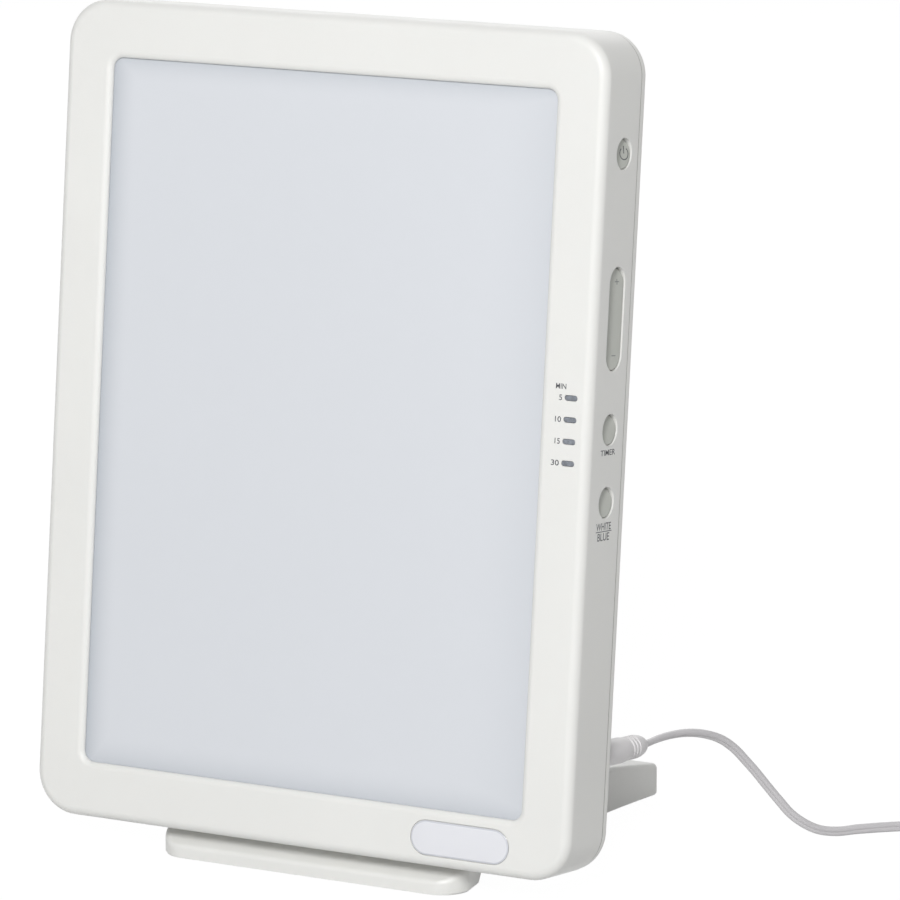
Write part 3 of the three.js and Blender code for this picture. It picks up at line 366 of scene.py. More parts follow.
def flared(hole: Outline, depths: Place, flare: float) -> Mesh:
    """A cutter whose mouth opens in a small round, so that the hole has a rounded edge.

    Args:
        hole: The hole's outline.
        depths: Where the face lies, and where the cutter ends inside.
        flare: Radius of the round.

    Returns:
        The cutter.
    """
    face, inside = depths
    out = math.copysign(1.0, face - inside)
    rings = [hole.ring(inside)]
    rings += [hole.ring(face - out * back, inset) for inset, back in quarter(flare, 4)]
    rings.append(hole.ring(face + out * OVERRUN, flare))
    return loft(rings)


def eased(share: float) -> float:
    """A share with a soft start and end, kept within 0 and 1."""
    share = min(max(share, 0.0), 1.0)
    return share * share * (3 - 2 * share)


def direction_at(points: Sequence[Vector], i: int) -> Vector:
    """The direction of a path at one of its points."""
    return (points[min(i + 1, len(points) - 1)] - points[max(i - 1, 0)]).normalized()


# Materials


def linear(red: int, green: int, blue: int) -> Colour:
    """A colour of 0 to 255 as the linear values that a shader takes.

    Args:
        red: Red, from 0 to 255.
        green: Green.
        blue: Blue.

    Returns:
        The linear colour.
    """

    def channel(value: int) -> float:
        """One channel's linear value."""
        share = value / 255
        return share / 12.92 if share <= 0.04045 else ((share + 0.055) / 1.055) ** 2.4

    return channel(red), channel(green), channel(blue)


def shade(colour: Colour, factor: float) -> tuple[float, float, float, float]:
    """A colour made darker or lighter by a factor, with alpha."""
    red, green, blue = (min(channel * factor, 1.0) for channel in colour)
    return red, green, blue, 1.0


WHITE = shade((1.0, 1.0, 1.0), 1.0)


@dataclass
class Graph:
    """The nodes of one material or group."""

    tree: bpy.types.NodeTree

    def add(self, kind: str, **settings: object) -> Node:
        """Adds a node.

        Args:
            kind: The node's type.
            settings: Properties of the node.

        Returns:
            The node.
        """
        node = self.tree.nodes.new(kind)
        for name, value in settings.items():
            setattr(node, name, value)
        return node

    def put(self, socket: Socket, value: object) -> None:
        """Sets an input, or links it to an output socket.

        Args:
            socket: The input.
            value: A value or an output socket.
        """
        if isinstance(value, Socket):
            self.tree.links.new(value, socket)
        else:
            socket.default_value = value

    def feed(self, node: Node, **values: object) -> Node:
        """Sets or links a node's inputs.

        Args:
            node: The node.
            values: Input names, with _ for a space, and a value or an output socket for each.

        Returns:
            The node.
        """
        for name, value in values.items():
            self.put(node.inputs[name.replace("_", " ")], value)
        return node

    def math(self, operation: str, a: object, b: object = 0.0) -> Socket:
        """A math node on one or two values.

        Args:
            operation: The math node's operation.
            a: First value or socket.
            b: Second value or socket.

        Returns:
            The result's socket.
        """
        node = self.add("ShaderNodeMath", operation=operation)
        for socket, value in zip(node.inputs, (a, b)):
            self.put(socket, value)
        return node.outputs[0]

    def span(self, value: Socket, source: Place, target: Place, smooth: bool = False) -> Socket:
        """A value mapped from one range to another.

        Args:
            value: The value.
            source: The range that it comes from.
            target: The range that it goes to.
            smooth: True for a smooth step.

        Returns:
            The result's socket.
        """
        node = self.add("ShaderNodeMapRange")
        node.interpolation_type = "SMOOTHSTEP" if smooth else "LINEAR"
        for socket, number in zip(node.inputs, (value, *source, *target)):
            self.put(socket, number)
        return node.outputs[0]

    def mix(self, share: object, near: object, far: object) -> Socket:
        """Two colours mixed by a share.

        Args:
            share: The second colour's share.
            near: First colour or socket.
            far: Second colour or socket.

        Returns:
            The result's socket.
        """
        node = self.add("ShaderNodeMix", data_type="RGBA")
        for index, value in ((0, share), (6, near), (7, far)):
            self.put(node.inputs[index], value)
        return node.outputs[2]


class SharedEffects:
    """Node groups that several finishes place, each with its own values."""

    @staticmethod
    def group(name: str, inputs: Sequence[tuple[str, str, float]], outputs: Sequence[str]) -> Graph:
        """An empty group with its sockets.

        Args:
            name: Its name.
            inputs: Name, socket type and default of each input.
            outputs: Names of its float outputs.

        Returns:
            The graph of the new group.
        """
        tree = bpy.data.node_groups.new(name, "ShaderNodeTree")
        for label, kind, default in inputs:
            socket = tree.interface.new_socket(label, in_out="INPUT", socket_type=kind)
            if kind == "NodeSocketFloat":
                socket.default_value = default
        for label in outputs:
            tree.interface.new_socket(label, in_out="OUTPUT", socket_type="NodeSocketFloat")
        return Graph(tree)

    @classmethod
    def moulded_grain(cls) -> bpy.types.NodeTree:
        """Fine spark-eroded grain of a moulded face, and slow drifts of its tone.

        Returns:
            The group, made once.
        """
        name = "moulded_grain"
        if name in bpy.data.node_groups:
            return bpy.data.node_groups[name]
        graph = cls.group(
            name,
            (
                ("Vector", "NodeSocketVector", 0.0),
                ("Grain", "NodeSocketFloat", 2400.0),
                ("Drift", "NodeSocketFloat", 14.0),
            ),
            ("Height", "Mottle", "Speck"),
        )
        entry, leave = graph.add("NodeGroupInput"), graph.add("NodeGroupOutput")
        vector, scale = entry.outputs["Vector"], entry.outputs["Grain"]
        fine = graph.add("ShaderNodeTexNoise")
        graph.feed(fine, Vector=vector, Scale=scale, Detail=3.0, Roughness=0.6)
        slow = graph.add("ShaderNodeTexNoise")
        graph.feed(slow, Vector=vector, Scale=entry.outputs["Drift"], Detail=4.0, Roughness=0.55)
        pits = graph.add("ShaderNodeTexVoronoi", feature="F1")
        graph.feed(pits, Vector=vector, Scale=graph.math("MULTIPLY", scale, 0.6))
        height = graph.math(
            "ADD",
            graph.math("MULTIPLY", fine.outputs[0], 0.7),
            graph.math("MULTIPLY", pits.outputs["Distance"], 0.5),
        )
        mottle = graph.span(slow.outputs[0], (0.3, 0.7), (0.0, 1.0))
        speck = graph.span(fine.outputs[0], (0.35, 0.7), (0.0, 1.0))
        graph.feed(leave, Height=height, Mottle=mottle, Speck=speck)
        return graph.tree

    @classmethod
    def handling_haze(cls) -> bpy.types.NodeTree:
        """Faint smears that change the gloss of a face that has been handled.

        Returns:
            The group, made once.
        """
        name = "handling_haze"
        if name in bpy.data.node_groups:
            return bpy.data.node_groups[name]
        graph = cls.group(
            name,
            (
                ("Vector", "NodeSocketVector", 0.0),
                ("Smear", "NodeSocketFloat", 30.0),
                ("Least", "NodeSocketFloat", 0.35),
                ("Most", "NodeSocketFloat", 0.45),
            ),
            ("Gloss",),
        )
        entry, leave = graph.add("NodeGroupInput"), graph.add("NodeGroupOutput")
        vector, scale, least, most = entry.outputs[:4]
        smear = graph.add("ShaderNodeTexNoise")
        graph.feed(smear, Vector=vector, Scale=scale, Detail=5.0, Distortion=0.6)
        share = graph.span(smear.outputs[0], (0.3, 0.7), (0.0, 1.0))
        run = graph.math("SUBTRACT", most, least)
        graph.feed(leave, Gloss=graph.math("ADD", least, graph.math("MULTIPLY", share, run)))
        return graph.tree


@dataclass(frozen=True)
class Finish:
    """A moulded, painted or metal finish with grain, drifts of tone and a varied gloss."""

    name: str
    colour: Colour
    roughness: float
    haze: float = 0.04
    grain: float = 2400.0
    relief: float = 0.012
    drift: float = 14.0
    tone: float = 0.02
    speck: float = 0.01
    metallic: float = 0.0
    coat: float = 0.0
    coat_roughness: float = 0.1
    subsurface: float = 0.0
    ior: float = 1.49
    bump: float = 0.5

    def material(self) -> bpy.types.Material:
        """The finish's material, made once.

        Returns:
            The material.
        """
        name = f"look_{self.name}"
        if name in bpy.data.materials:
            return bpy.data.materials[name]
        material = bpy.data.materials.new(name)
        material.use_nodes = True
        graph = Graph(material.node_tree)
        shader = material.node_tree.nodes["Principled BSDF"]
        vector = graph.add("ShaderNodeTexCoord").outputs["Object"]
        grain = graph.add("ShaderNodeGroup", node_tree=SharedEffects.moulded_grain())
        graph.feed(grain, Vector=vector, Grain=self.grain, Drift=self.drift)
        haze = graph.add("ShaderNodeGroup", node_tree=SharedEffects.handling_haze())
        least, most = max(self.roughness - self.haze, 0.02), self.roughness + self.haze
        graph.feed(haze, Vector=vector, Least=least, Most=most)
        bump = graph.add("ShaderNodeBump")
        height, deep = grain.outputs["Height"], self.relief * MM
        graph.feed(bump, Height=height, Strength=self.bump, Distance=deep)
        graph.feed(
            shader,
            Base_Color=self.colour_of(graph, vector, grain),
            Roughness=haze.outputs["Gloss"],
            Normal=bump.outputs["Normal"],
            Metallic=self.metallic,
            IOR=self.ior,
            Coat_Weight=self.coat,
            Coat_Roughness=self.coat_roughness,
        )
        if self.subsurface:
            graph.feed(
                shader,
                Subsurface_Weight=self.subsurface,
                Subsurface_Radius=(0.9, 0.8, 0.7),
                Subsurface_Scale=MM,
            )
        return material

    def colour_of(self, graph: Graph, vector: Socket, grain: Node) -> Socket:
        """The base colour, which drifts a little over the piece.

        Args:
            graph: The material's nodes.
            vector: Places on the piece; not used here.
            grain: The grain group.

        Returns:
            The colour's socket.
        """
        drifted = graph.mix(
            grain.outputs["Mottle"],
            shade(self.colour, 1 - self.tone),
            shade(self.colour, 1 + self.tone),
        )
        specks = graph.math("MULTIPLY", grain.outputs["Speck"], self.speck)
        return graph.mix(specks, drifted, shade(self.colour, 0.5))


@dataclass(frozen=True)
class PanelFinish(Finish):
    """A finish that knows the panel's own frame."""

    def panel_places(self, graph: Graph, vector: Socket) -> tuple[Socket, Socket, Socket]:
        """Places in the panel's frame, in millimetres.

        Args:
            graph: The material's nodes.
            vector: Places on the piece.

        Returns:
            Sockets of x, depth and height.
        """
        moved = graph.add("ShaderNodeVectorMath", operation="MULTIPLY_ADD")
        values = (vector, (1 / MM,) * 3, (0.0, ORIGIN_Y, -PANEL_LIFT))
        for socket, value in zip(moved.inputs, values):
            graph.put(socket, value)
        turn = graph.add("ShaderNodeVectorRotate", rotation_type="X_AXIS")
        graph.feed(turn, Vector=moved.outputs[0], Angle=TILT)
        parts = graph.add("ShaderNodeSeparateXYZ")
        graph.put(parts.inputs[0], turn.outputs[0])
        return parts.outputs[0], parts.outputs[1], parts.outputs[2]


@dataclass(frozen=True)
class OpalSheet(PanelFinish):
    """Opal sheet: a cool white with painted shade towards the edges of its window.

    Each edge has the width of its painted shade band and that band's strength: left, right, bottom
    and top.
    """

    # The bands and their colour are painted shade: the window lip's shadow on the sheet, not its
    # own tint.
    bands: tuple[Place, ...] = ((12.0, 1.1), (30.0, 0.3), (13.0, 0.7), (10.0, 0.7))
    edge: Colour = (0.5, 0.53, 0.57)

    def colour_of(self, graph: Graph, vector: Socket, grain: Node) -> Socket:
        """The sheet's colour with painted shade along its rim.

        Args:
            graph: The material's nodes.
            vector: Places on the piece.
            grain: The grain group.

        Returns:
            The colour's socket.
        """
        x, _, z = self.panel_places(graph, vector)
        wide, high = WINDOW_HALF
        middle = PANEL_HEIGHT / 2
        edges = ((x, 0.0, -wide), (x, 0.0, wide), (z, middle, -high), (z, middle, high))
        # rim is the painted shade's mask: the strongest band at each point near the window's edges.
        rim = None
        for (place, centre, off), (width, strength) in zip(edges, self.bands):
            edge = centre + off
            inner = edge - math.copysign(width, off)
            band = graph.span(place, (edge, inner), (1.0, 0.0))
            band = graph.math("MULTIPLY", graph.math("POWER", band, 2.0), strength)
            rim = band if rim is None else graph.math("MAXIMUM", rim, band)
        plain = super().colour_of(graph, vector, grain)
        return graph.mix(rim, plain, (*self.edge, 1.0))


@dataclass(frozen=True)
class SeamedMoulding(PanelFinish):
    """A moulding with painted shade along the seam between the housing and the cover."""

    seam: float = 29.2
    reach: Place = (0.25, 0.6)
    # The seam's colour and share are painted shade: a dark line in place of the gap's shadow at the
    # seam.
    seam_shade: Colour = (0.13, 0.11, 0.09)
    seam_shade_share: float = 0.5
    unevenness: Place = (0.8, 1.1)

    def colour_of(self, graph: Graph, vector: Socket, grain: Node) -> Socket:
        """The moulding's colour with painted shade along its seam.

        Args:
            graph: The material's nodes.
            vector: Places on the piece.
            grain: The grain group.

        Returns:
            The colour's socket.
        """
        _, depth, _ = self.panel_places(graph, vector)
        off = graph.math("ABSOLUTE", graph.math("SUBTRACT", depth, self.seam))
        # The painted seam shade: a narrow line at the seam, made a little uneven by the mottle.
        line = graph.span(off, self.reach, (self.seam_shade_share, 0.0), smooth=True)
        uneven = graph.span(grain.outputs["Mottle"], (0.0, 1.0), self.unevenness)
        plain = super().colour_of(graph, vector, grain)
        return graph.mix(graph.math("MULTIPLY", line, uneven), plain, (*self.seam_shade, 1.0))


@dataclass(frozen=True)
class DomedBadge(PanelFinish):
    """A clear domed label over a pale ground with a thin outline inside its edge."""

    line: Colour = (0.45, 0.47, 0.53)
    line_insets: Place = (0.75, 0.45)
    line_share: float = 0.55

    def colour_of(self, graph: Graph, vector: Socket, grain: Node) -> Socket:
        """The ground's colour with its outline.

        Args:
            graph: The material's nodes.
            vector: Places on the piece.
            grain: The grain group.

        Returns:
            The colour's socket.
        """
        x, _, z = self.panel_places(graph, vector)
        half_length, half_height = BADGE_HALF
        off = graph.math("ABSOLUTE", graph.math("SUBTRACT", x, BADGE_CENTRE[0]))
        run = half_length - half_height
        beyond = graph.math("MAXIMUM", graph.math("SUBTRACT", off, run), 0.0)
        up = graph.math("SUBTRACT", z, BADGE_CENTRE[1])
        square = graph.math(
            "ADD", graph.math("MULTIPLY", beyond, beyond), graph.math("MULTIPLY", up, up)
        )
        near, far = (half_height - inset for inset in self.line_insets)
        radius = graph.math("SQRT", square)
        rim = graph.span(radius, (near, far), (0.0, self.line_share), smooth=True)
        plain = super().colour_of(graph, vector, grain)
        return graph.mix(rim, plain, (*self.line, 1.0))


@dataclass(frozen=True)
class Laminate(Finish):
    """Circuit board: solder mask over copper tracks."""

    track: Colour = (0.045, 0.19, 0.09)
    cell_scale: float = 160.0
    track_width: Place = (0.03, 0.06)

    def colour_of(self, graph: Graph, vector: Socket, grain: Node) -> Socket:
        """Mask colour with the lighter lines of its tracks.

        Args:
            graph: The material's nodes.
            vector: Places on the piece.
            grain: The grain group.

        Returns:
            The colour's socket.
        """
        cells = graph.add("ShaderNodeTexVoronoi", feature="DISTANCE_TO_EDGE")
        graph.feed(cells, Vector=vector, Scale=self.cell_scale)
        lines = graph.span(cells.outputs["Distance"], self.track_width, (1.0, 0.0))
        plain = super().colour_of(graph, vector, grain)
        return graph.mix(lines, plain, (*self.track, 1.0))


HOUSING_WHITE = SeamedMoulding(
    "moulded_white", linear(234, 234, 231), 0.42, tone=0.012, speck=0.02, subsurface=0.04
)
STAND_WHITE = Finish(
    "stand_white", linear(233, 233, 230), 0.36, tone=0.012, speck=0.02, subsurface=0.04
)
CONTROL_GREY = Finish("control_grey", linear(186, 188, 182), 0.42, tone=0.02, speck=0.03)
OPAL = OpalSheet(
    "opal_sheet", linear(217, 220, 225), 0.32, relief=0.004, tone=0.008, speck=0.0, drift=5.0
)
SMOKE = Finish(
    "smoked_lens", linear(127, 132, 140), 0.25, haze=0.03, drift=700.0, tone=0.3, speck=0.1
)
BADGE = DomedBadge(
    "badge_dome",
    linear(229, 230, 235),
    0.3,
    haze=0.02,
    relief=0.001,
    tone=0.008,
    speck=0.0,
    coat=1.0,
    coat_roughness=0.04,
)
TRAY_WHITE = Finish("tray_white", linear(240, 240, 237), 0.6, tone=0.02)
BOARD = Laminate("board_laminate", linear(38, 84, 56), 0.45, relief=0.02, tone=0.1)
BLACK = Finish("black_moulding", linear(26, 26, 28), 0.5, haze=0.06, tone=0.15, speck=0.2)
STEEL = Finish(
    "zinc_steel", linear(176, 178, 182), 0.32, haze=0.08, grain=900.0, metallic=1.0, tone=0.06
)
NICKEL = Finish(
    "nickel", linear(204, 201, 194), 0.22, haze=0.05, grain=1200.0, metallic=1.0, tone=0.03
)
BRASS = Finish(
    "plated_brass", linear(206, 178, 110), 0.28, haze=0.06, grain=1200.0, metallic=1.0, tone=0.05
)
RUBBER = Finish("pad_rubber", linear(170, 170, 166), 0.8, relief=0.03, tone=0.05, speck=0.1)
LEAD_VINYL = Finish(
    "lead_vinyl", linear(205, 203, 205), 0.38, haze=0.05, relief=0.008, drift=40.0, tone=0.03
)
PLUG_VINYL = Finish(
    "plug_vinyl", linear(222, 220, 221), 0.42, haze=0.05, relief=0.01, drift=40.0, tone=0.03
)
INK = Finish("printed_ink", linear(84, 86, 91), 0.5, relief=0.002, tone=0.05, speck=0.05)
SIGN_INK = Finish("sign_ink", linear(92, 94, 96), 0.55, relief=0.002, tone=0.05, speck=0.05)
FAINT_INK = Finish("mark_ink", linear(136, 139, 137), 0.55, relief=0.002, tone=0.05, speck=0.05)


# Pieces


def dress(
    name: str,
    mesh: Mesh,
    frame: Matrix,
    finish: Finish,
    body: Body | None,
    slot: Slot | None = None,
    replaces: Sequence[str] = (),
    sharp: float = 34.0,
) -> Piece:
    """Puts a mesh into the scene as a piece of the lamp.

    Args:
        name: The piece's name.
        mesh: Its mesh, in millimetres.
        frame: Matrix from the mesh's frame to the part's frame.
        finish: Its finish.
        body: The body that it rides on, or None for a piece that stays unattached.
        slot: The record's material slot that the piece stands for; not used.
        replaces: CAD nodes that it stands for.
        sharp: Edges that turn more than this many degrees stay sharp.

    Returns:
        The piece.
    """
    mesh.name = name
    mesh.transform(frame)
    mesh.shade_smooth()
    mesh.set_sharp_from_angle(angle=math.radians(sharp))
    mesh.materials.clear()
    mesh.materials.append(finish.material())
    piece = bpy.data.objects.new(name, mesh)
    bpy.context.scene.collection.objects.link(piece)
    normals = piece.modifiers.new("weighted_normals", "WEIGHTED_NORMAL")
    normals.keep_sharp = True
    normals.weight = 100
    if replaces:
        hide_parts(*replaces)
    if body is not None:
        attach(piece, body.value)
    log.info("%s: %d vertices", name, len(mesh.vertices))
    return piece


@dataclass
class Casing:
    """Sizes of the panel's casing that its mouldings, its controls and the stand share."""

    width: float = 244.4
    height: float = PANEL_HEIGHT
    corner: float = 17.5
    seam: float = 28.8
    cover_edge: float = 4.8
    side_wall: float = 2.2
    front_wall: float = 2.4
    cover_wall: float = 2.2
    boss_radius: float = 4.0
    boss_reach: float = 9.4
    screw_x: float = 112.75
    screw_z: Place = (9.95, 105.0125)
    head_depth: float = 5.0
    tongue_top: float = 74.5
    tongue_thickness: float = 5.2
    tongue_radius: float = 8.0
    socket_wall: float = 2.5
    hub_top: float = 27.0

    @property
    def half_width(self) -> float:
        """Half the panel's width."""
        return self.width / 2

    @property
    def middle(self) -> float:
        """Height of the panel's middle."""
        return self.height / 2

    @property
    def cover_front(self) -> float:
        """Front edge of the back cover."""
        return self.seam + SEAT

    @property
    def depth(self) -> float:
        """The panel's depth."""
        return self.cover_front + self.cover_edge

    @property
    def cover_inner(self) -> float:
        """Inner face of the back cover."""
        return self.depth - self.cover_wall

    @property
    def wall_inner(self) -> float:
        """Inner face of the side wall."""
        return self.half_width - self.side_wall

    @property
    def pocket_end(self) -> float:
        """Back of the pocket that the stand's tongue enters."""
        return self.depth + 2 * SEAT + self.tongue_thickness

    @property
    def socket_bottom(self) -> float:
        """Lower edge of the bump round that pocket, just above the stand's hub."""
        outer = self.pocket_end + self.socket_wall
        return (self.hub_top + SEAT - PANEL_LIFT + outer * math.sin(TILT)) / math.cos(TILT)

    def ring(self, inset: float, y: float) -> Ring:
        """The casing's outline, set in from the outside, at a depth."""
        half = (self.half_width, self.middle)
        return Outline(Axis.Y, half, self.corner, (0.0, self.middle)).ring(y, -inset)

    def screws(self) -> list[Place]:
        """Places of the cover's six screws."""
        low, high = self.screw_z
        return [(s * self.screw_x, z) for z in (low, high, self.height - low) for s in (-1, 1)]


@dataclass
class Controls:
    """Places and sizes of what the housing's side wall and front wall let through."""

    casing: Casing
    depth: float = 17.4
    power_drop: float = 46.4
    rocker_drop: float = 110.2
    timer_drop: float = 153.2
    colour_drop: float = 181.6
    cap_radius: float = 5.9
    cap_recess: float = 0.45
    cap_edge: float = 0.4
    cap_dish: float = 0.2
    scoop: float = 1.5
    scoop_way: Place = (0.87, -0.5)
    scoop_reach: float = 2.0
    flange: float = 1.2
    stem_radius: float = 2.0
    stem_reach: float = 1.0
    rocker_half: Place = (6.1, 19.95)
    rocker_dish: float = 0.2
    rocker_plate: float = 2.4
    hub_half: float = 4.0
    pin_inset: float = 5.5
    pill_x: float = 113.5
    pill_drop: float = 140.6
    pill_pitch: float = 8.45
    pill_half: Place = (2.8, 1.1)
    pill_radius: float = 1.0

    def height_of(self, drop: float) -> float:
        """Height above the panel's lower edge of what lies that far below the top."""
        return self.casing.height - drop

    def pills(self) -> list[Place]:
        """Places of the four indicator lenses, from the top."""
        top = self.height_of(self.pill_drop)
        return [(self.pill_x, top - row * self.pill_pitch) for row in range(4)]

    def dish_at(self, radius: float) -> float:
        """Where a button's face lies along X at a radius, before it is scooped."""
        share = min(radius / (self.cap_radius - self.cap_edge), 1.0)
        return self.casing.half_width - self.cap_recess - self.cap_dish * (1 - share**2)

    @staticmethod
    def beyond(off: float, run: float) -> float:
        """How far a place lies past the straight part of a long control, with its sign."""
        return math.copysign(max(abs(off) - run, 0.0), off)

    def scoop_at(self, back: float, up: float, reach: float) -> float:
        """How deep a face is scooped: most at a third of the way from its front and top.

        Args:
            back: Place behind the control's middle.
            up: Place above the control's middle.
            reach: Half the control's width.

        Returns:
            The extra depth.
        """
        along = (back * self.scoop_way[0] + up * self.scoop_way[1]) / reach
        share = min(max(along, -1.0), 1.0) / 2 + 0.5
        peak = 27 / 4  # brings the greatest value of s * (1 - s) ** 2 to 1
        return self.scoop * peak * share * (1 - share) ** 2

    def scooped(self, mesh: Mesh, z: float, half: Place) -> Mesh:
        """A control's mesh with its outer face scooped.

        Args:
            mesh: The mesh.
            z: Height of its middle.
            half: Half its width and height.

        Returns:
            The same mesh.
        """
        reach, tall = half
        for vertex in mesh.vertices:
            if vertex.co.x > self.casing.half_width - self.scoop_reach:
                up = self.beyond(vertex.co.z - z, tall - reach)
                vertex.co.x -= self.scoop_at(vertex.co.y - self.depth, up, reach)
        return mesh


@dataclass
class FrontHousing:
    """The moulded white frame: one shell with its window, side wall and apertures."""

    casing: Casing
    controls: Controls
    fillet: float = 4.0
    seam_edge: float = 0.15
    window_radius: float = 4.5
    lip: float = 2.8
    lip_depth: float = 2.0
    lip_steps: int = 10
    badge_recess: float = 0.6
    mouth: float = 0.2
    front_mouth: float = 0.15
    ear_wall: float = 1.8
    ear_reach: float = 2.7
    pilot_radius: float = 1.5
    pilot_front: float = 12.0

    def window_ring(self, grow: float, y: float) -> Ring:
        """The window's outline, grown outwards, at a depth."""
        centre = (0.0, self.casing.middle)
        return Outline(Axis.Y, WINDOW_HALF, self.window_radius, centre).ring(y, grow)

    def shell(self) -> Mesh:
        """The shell from the seam round the front edge, over the window's lip and back.

        Returns:
            The closed shell.
        """
        case = self.casing
        rings = [case.ring(inset, case.seam - back) for inset, back in quarter(self.seam_edge, 3)]
        rings.reverse()
        rings += [case.ring(inset, back) for inset, back in quarter(self.fillet, 12)]
        for step in range(self.lip_steps + 1):
            angle = math.pi / 2 * step / self.lip_steps
            grow = self.lip * (1 - math.sin(angle))
            rings.append(self.window_ring(grow, self.lip_depth * (1 - math.cos(angle))))
        rings.append(self.window_ring(0.0, case.front_wall))
        rings.append(case.ring(case.side_wall, case.front_wall))
        rings.append(case.ring(case.side_wall, case.seam))
        return loft(rings, closed=True)

    def additions(self) -> Mesh:
        """Screw bosses and the ears that carry the rocker's pin.

        Returns:
            The solids as one mesh.
        """
        case, controls = self.casing, self.controls
        top = case.cover_inner - case.boss_reach - SEAT
        solids = [
            rod(case.boss_radius, case.front_wall - ROOT, top, Axis.Y, place)
            for place in case.screws()
        ]
        z = controls.height_of(controls.rocker_drop)
        tall = (z - controls.hub_half, z + controls.hub_half)
        pin = case.half_width - controls.pin_inset
        near = controls.depth - controls.rocker_half[0] - SEAT
        far = controls.depth + controls.rocker_half[0] + SEAT
        for depths in ((near - self.ear_wall, near), (far, far + self.ear_wall)):
            solids.append(block((pin - self.ear_reach, case.wall_inner + ROOT), depths, tall))
        return merged(solids)

    def openings(self) -> Mesh:
        """Cutters of the button holes, the rocker's slot, the lens slots and the badge's bed.

        Returns:
            The cutters as one mesh.
        """
        case, controls = self.casing, self.controls
        hole = (controls.cap_radius + SEAT,) * 2
        slot = (controls.rocker_half[0] + SEAT, controls.rocker_half[1] + SEAT)
        side = (case.half_width, case.wall_inner - OVERRUN)
        cutters = []
        for drop, half in (
            (controls.power_drop, hole),
            (controls.timer_drop, hole),
            (controls.colour_drop, hole),
            (controls.rocker_drop, slot),
        ):
            place = (controls.depth, controls.height_of(drop))
            cutters.append(flared(Outline(Axis.X, half, half[0], place), side, self.mouth))
        front = (0.0, case.front_wall + OVERRUN)
        for place in controls.pills():
            lens = Outline(Axis.Y, controls.pill_half, controls.pill_radius, place, 8)
            cutters.append(flared(lens, front, self.front_mouth))
        bed = (BADGE_HALF[0] + SEAT, BADGE_HALF[1] + SEAT)
        badge = Outline(Axis.Y, bed, bed[1], BADGE_CENTRE)
        cutters.append(flared(badge, (0.0, self.badge_recess), self.front_mouth))
        return merged(cutters)

    def build(self) -> None:
        """Builds the housing."""
        case = self.casing
        holes = [
            rod(self.pilot_radius, self.pilot_front, case.cover_inner, Axis.Y, place, 24)
            for place in case.screws()
        ]
        body = combine(self.shell(), self.additions(), Operation.JOIN)
        body = combine(body, merged(holes), Operation.CUT)
        body = combine(body, self.openings(), Operation.CUT)
        dress(
            "housing_front", body, PANEL, HOUSING_WHITE, Body.PANEL, Slot.HOUSING, ["front_housing"]
        )


